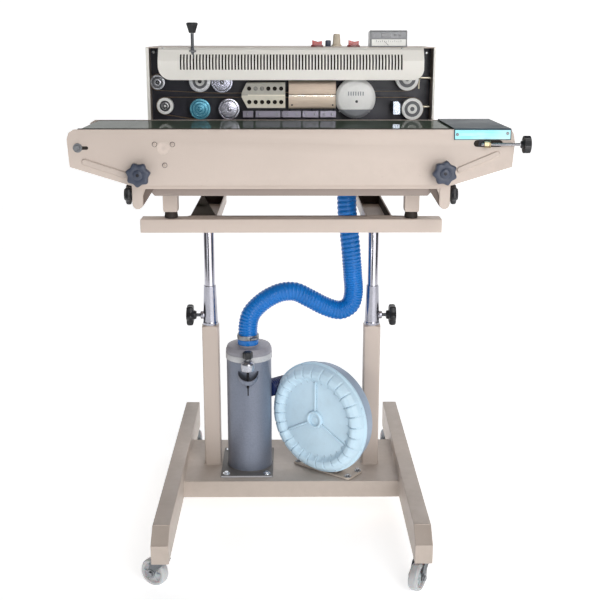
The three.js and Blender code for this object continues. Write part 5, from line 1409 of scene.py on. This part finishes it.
for h_, r_, fl in ((0.6, 10.6, 0), (2.0, 10.8, 0), (4.2, 10.2, 0), (5.2, 8.2, 1), (22, 7.1, 1), (25, 6.6, 1), (26.1, 5.4, 0.4), (26.2, 2.0, 0), (26.2, 0.1, 0)):
    rings.append([(94.6 + (r_ - fl * 0.5 * (0.5 - 0.5 * math.cos(20 * t))) * math.cos(t), 70 + (r_ - fl * 0.5 * (0.5 - 0.5 * math.cos(20 * t))) * math.sin(t), TOPZ + h_) for t in (2 * PI * i / 160 for i in range(160))])
mb.layers(rings)
mb.obj("temperature_knob_ribbed", "temperature_knob_body", "beige_plastic", IVORY, replaces=("temperature_knob",), angle=45)
MB().box(94.2, 95.0, 63.6, 68.6, TOPZ + 26.15, TOPZ + 26.5).obj("temperature_knob_pointer", "temperature_knob_body", "red_plastic", RED)

# meter on top: sloped housing, framed white dial card and a display panel
pf = fillet([(59, TOPZ + 0.2), (112, TOPZ + 0.2), (112, TOPZ + 30), (66, TOPZ + 33.4), (60.4, TOPZ + 31)], [1.2, 1.2, 2.5, 2.5, 1.5], 4, True)
mb = MB().prism(pf, "x", 163, 240)
mb.obj("meter_case", "lift", "meter_plastic", METER, bevel=1.0, seg=3, replaces=("meter_box",), angle=30)
MB().prism(rrect(166, 237, TOPZ + 1.5, TOPZ + 16, 1.0), "y", 58.3, 59.6).obj("meter_lower_window", "lift", "white_plastic", DIAL, bevel=0.3)
MB().prism(rrect(166.5, 236.5, TOPZ + 17.6, TOPZ + 29.6, 1.0), "y", 58.9, 60.6).obj("meter_display_panel", "lift", "meter_plastic", plastic("meter_panel", (132, 134, 138), rough=0.25, bump=0.05), bevel=0.3)
mb = MB()
mb.prism(rrect(186, 206, TOPZ + 19.2, TOPZ + 27.6, 0.8), "y", 58.4, 59.0)
mb.obj("meter_display", "lift", "black_plastic", plastic("display_glass", (96, 98, 102), rough=0.12, bump=0.02, coat=0.5), bevel=0.2)
MB().prism(rrect(164.5, 238.5, TOPZ + 0.6, TOPZ + 17.0, 1.4), "y", 57.9, 58.5, [rrect(166.6, 236.9, TOPZ + 2.2, TOPZ + 15.4, 0.8)]).obj("meter_window_frame", "lift", "meter_plastic", METER, bevel=0.2)
mb = MB()
for k in range(13):
    x = 176 + k * 4.2
    mb.box(x, x + 0.5, 58.0, 58.35, TOPZ + 9.6, TOPZ + (13.6 if k % 3 == 0 else 12.0))
mb.tube([(201, 58.0, TOPZ + 3.4), (192, 57.95, TOPZ + 12.4)], 0.35, 8)
mb.obj("meter_scale_and_needle", "lift", "black_plastic", BLACK, angle=40)
for k, x in enumerate((215, 224)):
    MB().lathe(fillet([(0, 58.9), (2.4, 58.9), (2.2, 57.9), (0, 57.7)], 0.3, 3), (x, 0, TOPZ + 23.4), "y", 24).obj("meter_button_%d" % k, "lift", "meter_plastic", METER, angle=40)

# pressure screw through the guard
mb = MB()
pr, h = [(0, 984.5), (3.0, 984.5)], 985.5
while h < 1040:
    pr += [(3.6, h), (3.05, h + 0.6)]; h += 1.2
pr += [(3.5, 1042), (0, 1042)]
mb.lathe(pr, (-200.7, 35, 0), "z", 24)
mb.lathe(fillet([(3.6, 1004.8), (7.2, 1004.8), (7.2, 1008.2), (3.6, 1008.2)], 0.3, 2), (-200.7, 35, 0), "z", 6)
mb.obj("pressure_thread", "pressure_body", "chrome_tube", ZINC, replaces=("pressure_screw",), angle=55)
mb = MB()
rings = []
for h_, r_, fl in ((1042.0, 4.6, 0), (1042.3, 6.8, 0), (1046, 7.6, 0.6), (1052, 9.4, 1), (1058, 11.4, 1), (1061, 11.9, 1), (1062.4, 10.8, 0.6), (1062.9, 8.4, 0), (1062.9, 3.6, 0), (1062.3, 3.2, 0), (1062.3, 0.1, 0)):
    rings.append([(-200.7 + (r_ - fl * 0.7 * (0.5 - 0.5 * math.cos(16 * t))) * math.cos(t), 35 + (r_ - fl * 0.7 * (0.5 - 0.5 * math.cos(16 * t))) * math.sin(t), h_) for t in (2 * PI * i / 128 for i in range(128))])
mb.layers(rings)
mb.obj("pressure_knob", "pressure_body", "black_plastic", BLACK, angle=45)

# ------------------------------------------------------------------ filter canister
mb = MB()
mb.prism(rrect(-155, -41, -46, 112, 3.0), "z", 100.3, 104.3)
mb.obj("canister_foot_plate", "stand", "grey_paint", PLATE, bevel=0.6, replaces=("canister_body",))
mb = MB()
for x in (-143, -54):
    for y in (-34, 100):
        hexbolt(mb, (x, y, 104.3), "z", 1, 8.6, 3.6, rot=0.3 + x * 0.01)
mb.obj("canister_plate_bolts", "stand", "caster_zinc", steel("bright_bolt", (222, 226, 232), 0.26, 0.15), angle=40)
mb = MB()
mb.lathe([(0, 112), (46.5, 112)] + [(46.5, 355.0), (49.0, 355.0)] + fillet([(49.0, 355.0), (49.0, 112.5), (49.0, 106.2), (50.4, 104.4)], [0, 0, 1.2, 0], 3) + [(0, 104.4)], (-93, 24, 0), "z", 96)
mb.obj("canister_shell", "stand", "grey_paint", CANISTER, angle=40)
mb = MB()
weld_bead(mb, [(-93 + 50.0 * math.cos(t), 24 + 50.0 * math.sin(t), 105.0) for t in np.linspace(0, 2 * PI, 90)], 1.5, 8, 31)
weld_bead(mb, [(-93 + 1.5, 24 + 49.0, z) for z in np.linspace(108, 352, 30)], 0.8, 6, 32)
mb.obj("canister_weld", "stand", "grey_paint", PLATE, angle=60)
mb = MB()
mb.lathe(fillet([(46.0, 355.4), (50.0, 355.4), (50.0, 375.4), (46.5, 384.6), (24.5, 387.8), (0, 388.0)], [0, 0.5, 2.0, 3.0, 2, 0], 5), (-93, 24, 0), "z", 96)
mb.lathe([(46.0, 355.4), (0, 355.4)], (-93, 24, 0), "z", 96)
mb.lathe(fillet([(20.4, 386.0), (22.4, 386.0), (22.4, 389.4), (20.4, 389.4)], 0.4, 2) + [(20.4, 386.0)], (-94, 12, 0), "z", 64)
mb.obj("canister_lid", "stand", "grey_paint", CANISTER_CAP, replaces=("canister_cap",), angle=35)
BANDG = hammered("lid_band_grey", (206, 207, 210), 0.4, 0.1)
mb = MB().lathe(fillet([(50.0, 356.0), (50.7, 356.0), (50.7, 368.6), (50.0, 368.6)], 0.25, 2) + [(50.0, 356.0)], (-93, 24, 0), "z", 96)
mb.obj("canister_lid_band", "stand", "grey_paint", BANDG, angle=40)
MB().box(-154, -42, -46.5, -45.9, 100.5, 104.1).obj("canister_plate_bare_edge", "stand", "grey_paint", paint("bare_edge_grey", (196, 196, 200), darken_low=False, dust=0.0), bevel=0.1)
# lid clamp: lug on the lid, swing bolt, knob, and the bowl bracket on the shell that the bolt hooks into
LUG = steel("clamp_lug", (186, 188, 196), 0.3, 0.15)
mb = MB()
mb.lathe(fillet([(0, 345.5), (13.6, 345.5), (14.4, 348), (14.4, 360.5), (12.6, 363.5), (9, 365.8), (0, 366)], [0, 1, 1, 1.5, 1.5, 1, 0], 4), (-93, -42, 0), "z", 56)
mb.prism(fillet([(-101, -31), (-85, -31), (-85, -18), (-101, -18)], 1.0, 3, True), "z", 357.4, 364)
mb.obj("clamp_lid_lug", "stand", "grey_paint", LUG, angle=35)
mb = MB()
pr, h = [(0, 306), (2.6, 306)], 307.0
while h < 345:
    pr += [(3.0, h), (2.6, h + 0.6)]; h += 1.2
pr += [(3.0, 345.6), (0, 345.6)]
mb.lathe(pr, (-93, -42, 0), "z", 20)
mb.lathe(fillet([(0, 288), (1.4, 289), (1.4, 306.5), (0, 306.5)], 0.3, 2), (-93, -42, 0), "z", 14)
mb.obj("clamp_swing_bolt", "stand", "caster_zinc", DARKSTEEL, angle=55)
mb = MB()
bowl_o = fillet([(22.5, 335), (21.8, 326), (15, 316), (5.2, 311.5)], [0, 3, 4, 0], 5)
bowl_i = [(max(0.5, r_ - 1.7), z_ + 1.2) for r_, z_ in bowl_o[::-1]]
prof = bowl_o + [(5.2, 313.0)] + [(max(5.2, r_), z_) for r_, z_ in bowl_i[1:-1]] + [(20.8, 335)]
mb.lathe(prof + [prof[0]], (-93, -23, 0), "z", 44, PI - 0.18, 2 * PI + 0.18)
SHEAR = Matrix(((1, 0, 0, 0), (0, 1, 0, 0), (0, 0.62, 1, 0.62 * 23), (0, 0, 0, 1)))
mb.turned_by(SHEAR)
mb.obj("clamp_bowl_bracket", "stand", "grey_paint", CANISTER, angle=45)
# dark inside of the bowl bracket: painted shade
mb = MB()
mb.lathe([(r_ - 0.15, z_ + 0.25) for r_, z_ in bowl_i] , (-93, -23, 0), "z", 40, PI - 0.1, 2 * PI + 0.1)
mb.turned_by(SHEAR)
mb.obj("clamp_bowl_shaded_inside", "stand", "black_plastic", SHADE_DARK, angle=45)
mb = MB()
star_knob(mb, (-93, -42, 0), "z", 11, 6, 0.16, 372.2, 387.4, hub=0.5, dome=0.6, rot=0.2)
mb.obj("clamp_star_knob", "valve_knob_body", "black_plastic", BLACK, replaces=("valve_knob",), angle=60)
MB().lathe(fillet([(0, 366.6), (4, 366.6), (4, 372.4), (0, 372.4)], 0.3, 2), (-93, -42, 0), "z", 24).obj("clamp_knob_stem", "valve_knob_body", "caster_zinc", ZINC)

# ------------------------------------------------------------------ side-channel blower
TB = Matrix.Translation((62, -20, 231)) @ Matrix.Rotation(math.radians(-38), 4, "Z")
NR, PER = 28, 20
prof = [(19.5, -16.8), (21, -16.7), (50, -16.1), (74, -15.5), (80, -15.35)] + fillet([(81.5, -15.3), (84.5, -15.2), (88.5, -17.5), (96, -25.0), (103, -26.2), (111, -22.5), (117.5, -14.0), (120.2, -5.4), (124.6, -3.6), (124.6, -0.2)], [0, 1.2, 2, 5, 6, 6, 4, 1.5, 1.2, 0], 5)
rings = []
for r_, y_ in prof:
    wgt = 1.0 if 88 < r_ < 119 else 0.0
    if 82 < r_ <= 88: wgt = 0.55
    row = []
    for i in range(NR * PER):
        t = 2 * PI * i / (NR * PER) + 0.06
        ph = (i % PER) / PER
        fin = max(0.0, 1 - abs(((ph + 0.5) % 1) - 0.5) / 0.085)
        fin = min(1, fin * 1.5)
        sc = 0.5 - 0.5 * math.cos(2 * PI * ph)
        rr = r_ + (3.6 * (sc ** 0.5 - 0.5) if 82 < r_ < 92 else 0)
        row.append((rr * math.cos(t), y_ + 2.6 * fin * wgt, rr * math.sin(t)))
    rings.append(row)
mb = MB(TB)
mb.layers(rings, cap0=False, cap1=False)
back = [(124.6, -0.2), (110, -0.2), (92, -9.5), (19.5, -9.5)]
mb.layers([[(r_ * math.cos(2 * PI * i / 112 + 0.06), y_, r_ * math.sin(2 * PI * i / 112 + 0.06)) for i in range(112)] for r_, y_ in back], cap0=False, cap1=True)
mb.obj("blower_cover_ribbed", "stand", "blower_cover_paint", BLOWER, replaces=("blower_cover",), angle=50)
mb = MB(TB)
for a in (90, 209, 331):
    a = math.radians(a)
    ca, sa = math.cos(a), math.sin(a)
    sec = [(-2.6, -15.0), (-2.2, -18.6), (-1.3, -19.4), (1.3, -19.4), (2.2, -18.6), (2.6, -15.0)]
    rg = []
    for rad in (17.5, 19.5, 50, 80, 84, 87):
        drop = 0 if rad < 84 else (1.0 if rad < 86 else 3.0)
        rg.append([(rad * ca - u * sa, y_ + (drop if y_ < -16 else 0), rad * sa + u * ca) for u, y_ in sec])
    mb.layers(rg)
mb.obj("blower_cover_spokes", "stand", "blower_cover_paint", BLOWER, angle=40)
mb = MB(TB)
mb.lathe(fillet([(0, -18.2), (14.0, -18.2), (14.6, -23.2), (18.2, -23.6), (20.4, -15.5)], [0, 0.8, 0.8, 1.2, 0], 4), (0, 0, 0), "y", 72)
mb.lathe(fillet([(0, -19.6), (5, -19.6), (6.5, -18.0)], [0, 0.8, 0], 3), (0, 0, 0), "y", 40)
mb.obj("blower_hub_ring", "stand", "blower_cover_paint", BLOWER, angle=40)
# housing behind the cover
mb = MB(TB)
R = 125.0
mb.lathe(fillet([(R - 20, 0.6), (R - 0.6, 0.6), (R - 0.6, 6), (R - 4, 8), (R - 6, 20), (R - 8, 31), (R - 15, 38), (60, 39.8), (0, 40)], [0, 1, 0.8, 1.5, 5, 6, 6, 4, 0], 4), (0, 0, 0), "y", 112)
mb.lathe([(R - 20, 0.6), (R - 20, 31.8), (0, 31.8)], (0, 0, 0), "y", 80)
mb.obj("blower_housing_shell", "stand", "blower_casting", BLOWER_RIM, replaces=("blower_housing",), angle=40)
mb = MB(TB)
for i in range(24):
    a = 2 * PI * i / 24
    ca, sa = math.cos(a), math.sin(a)
    q = [(-1.4, 0), (1.4, 0), (1.0, 1), (-1.0, 1)]
    mb.layers([[(rad * ca - u * sa, yb + (yt - yb) * v, rad * sa + u * ca) for u, v in q] for rad, yb, yt in ((58, 39, 44.5), (100, 37.5, 42.5), (108, 36, 38.8))])
mb.obj("blower_housing_fins", "stand", "blower_casting", BLOWER_RIM, angle=30)
mb = MB(TB)
mb.prism(rrect(-77, 77, 2, 58, 9), "z", 100.3 - 231, 105.4 - 231)
mb.prism(fillet([(-40, 106 - 231), (40, 106 - 231), (46, 118 - 231), (30, 140 - 231), (-30, 140 - 231), (-46, 118 - 231)], 3, 3, True), "y", 8, 32)
mb.obj("blower_foot", "stand", "blower_casting", cast("foot_casting_light", (205, 192, 178), 0.5, 0.0), bevel=1.2, seg=3)
mb = MB(TB)
for x in (-68, 68):
    for y in (12, 50):
        hexbolt(mb, (x, y, 105.4 - 231), "z", 1, 8, 3.4, rot=0.2)
mb.obj("blower_foot_bolts", "stand", "caster_zinc", ZINC, angle=40)
mb = MB(TB)
for i in range(8):
    a = 2 * PI * (i + 0.5) / 8
    screw(mb, (122.2 * math.cos(a), -3.7, 122.2 * math.sin(a)), "y", -1, 2.1, 1.5)
mb.obj("blower_cover_screws", "stand", "blower_cover_paint", BLOWER, angle=40)
# motor with cooling fins and a fan cowl
mb = MB(TB)
mb.lathe(fillet([(0, 40.4), (50, 40.4), (50, 46), (46, 46.4), (46, 82), (51.5, 82.2), (51.5, 92), (46, 98), (30, 99.6), (0, 100)], [0, 0.6, 0.6, 0.4, 0.4, 0.6, 3, 4, 3, 0], 4), (0, 0, 0), "y", 72)
for i in range(36):
    a = 2 * PI * i / 36
    ca, sa = math.cos(a), math.sin(a)
    q = [(-1.1, 45.5), (1.1, 45.5), (1.1, 81.0), (-1.1, 81.0)]
    mb.layers([[(rad * ca - u * k * sa, y_, rad * sa + u * k * ca) for u, y_ in q] for rad, k in ((44, 1.0), (51.4, 0.7))])
mb.obj("blower_motor_finned", "stand", "motor_grey", MOTOR, replaces=("blower_motor",), angle=40)
# dark stubs in the cowl's vent pattern: painted shade for the vent openings
mb = MB(TB)
for rad in (14, 22, 30, 38):
    for i in range(int(rad * 0.9)):
        a = 2 * PI * i / int(rad * 0.9)
        mb.lathe([(0, 99.0 - rad * 0.02), (1.7, 99.2 - rad * 0.02), (1.7, 100.2 - max(0, rad - 28) * 0.12), (0, 100.2 - max(0, rad - 28) * 0.12)], (rad * math.cos(a), 0, rad * math.sin(a)), "y", 8)
mb.obj("motor_cowl_vent_shade", "stand", "black_plastic", SHADE_DARK, angle=40)
mb = MB(TB)
mb.lathe(fillet([(0, 2), (22, 2), (24, 7), (80, 9), (83, 4), (100, 3), (100, 24), (84, 25), (80, 15), (0, 14)], [0, 1, 1, 1, 1, 1, 1, 1, 2, 0], 3), (0, 0, 0), "y", 72)
for i in range(44):
    a = 2 * PI * i / 44
    ca, sa = math.cos(a), math.sin(a)
    mb.layers([[(rad * ca - u * sa, y_, rad * sa + u * ca) for u, y_ in ((-0.7, 2.2), (0.7, 2.2), (0.7, 5), (-0.7, 5))] for rad in (84, 99)])
mb.obj("impeller_bladed", "impeller_body", "turned_aluminium", brushed("impeller_alloy", (184, 186, 190), "x", 0.35), replaces=("blower_impeller",), angle=40)
print("blower done")

# ------------------------------------------------------------------ stage, light, world
k = Mat("studio_floor")
a = k.noise(2.0, 4, 0.6)
STAGE = k.set(color=k.mix(a, (0.80, 0.80, 0.80), (0.84, 0.84, 0.84)), rough=k.rng(a, 0.3, 0.7, 0.65, 0.8), normal=k.bump(k.noise(300, 2), 0.02, 0.0005), spec=0.1, emit=(1.0, 1.0, 1.0), emit_s=0.62)
me = bpy.data.meshes.new("studio_sweep")
prof = [(-7.0, 0.0), (1.6, 0.0)] + [(1.6 + 1.4 * math.sin(t), 1.4 - 1.4 * math.cos(t)) for t in np.linspace(0.1, PI / 2, 16)] + [(3.0, 5.0)]
V = [(x, y, z) for x in (-6.5, 6.5) for y, z in prof]
n = len(prof)
me.from_pydata(V, [], [(i, n + i, n + i + 1, i + 1) for i in range(n - 1)])
me.materials.append(STAGE)
me.shade_smooth()
sweep = bpy.data.objects.new("studio_sweep", me)
bpy.context.scene.collection.objects.link(sweep)


def area(name, loc, aim, size, power, rgb=(1, 1, 1), size_y=None):
    d = bpy.data.lights.new(name, "AREA")
    d.shape = "RECTANGLE"; d.size = size; d.size_y = size_y or size
    d.energy = power; d.color = rgb
    o = bpy.data.objects.new(name, d)
    o.location = loc
    v = Vector(aim) - Vector(loc)
    o.rotation_euler = v.to_track_quat("-Z", "Y").to_euler()
    bpy.context.scene.collection.objects.link(o)
    return o


area("key_front", (1.35, -3.3, 2.75), (0.05, 0, 0.6), 1.7, 48, (1.0, 0.985, 0.97))
area("front_panel", (1.6, -3.3, 1.0), (0, 0, 0.75), 3.4, 40, (1.0, 0.99, 0.985), size_y=1.9)
area("fill_left", (-2.4, -2.8, 1.2), (0, 0, 0.55), 1.8, 7, (0.97, 0.985, 1.0))
grid = area("head_softbox", (0.35, -2.6, 1.2), (0.07, 0.05, 0.935), 0.6, 0.135, (1.0, 0.99, 0.985), size_y=0.3)
grid.data.spread = math.radians(24)
grid = area("blower_softbox", (-1.5, -2.2, 0.6), (0.10, -0.02, 0.235), 0.4, 0.05, (0.97, 0.985, 1.0))
grid.data.spread = math.radians(14)
area("rim_back", (0.8, 2.2, 2.2), (0, 0, 0.7), 1.6, 8)
w = bpy.data.worlds.new("studio")
w.use_nodes = True
w.node_tree.nodes["Background"].inputs[0].default_value = (0.86, 0.87, 0.90, 1)
w.node_tree.nodes["Background"].inputs[1].default_value = 0.10
bpy.context.scene.world = w
bpy.context.scene.view_settings.exposure = 0.0
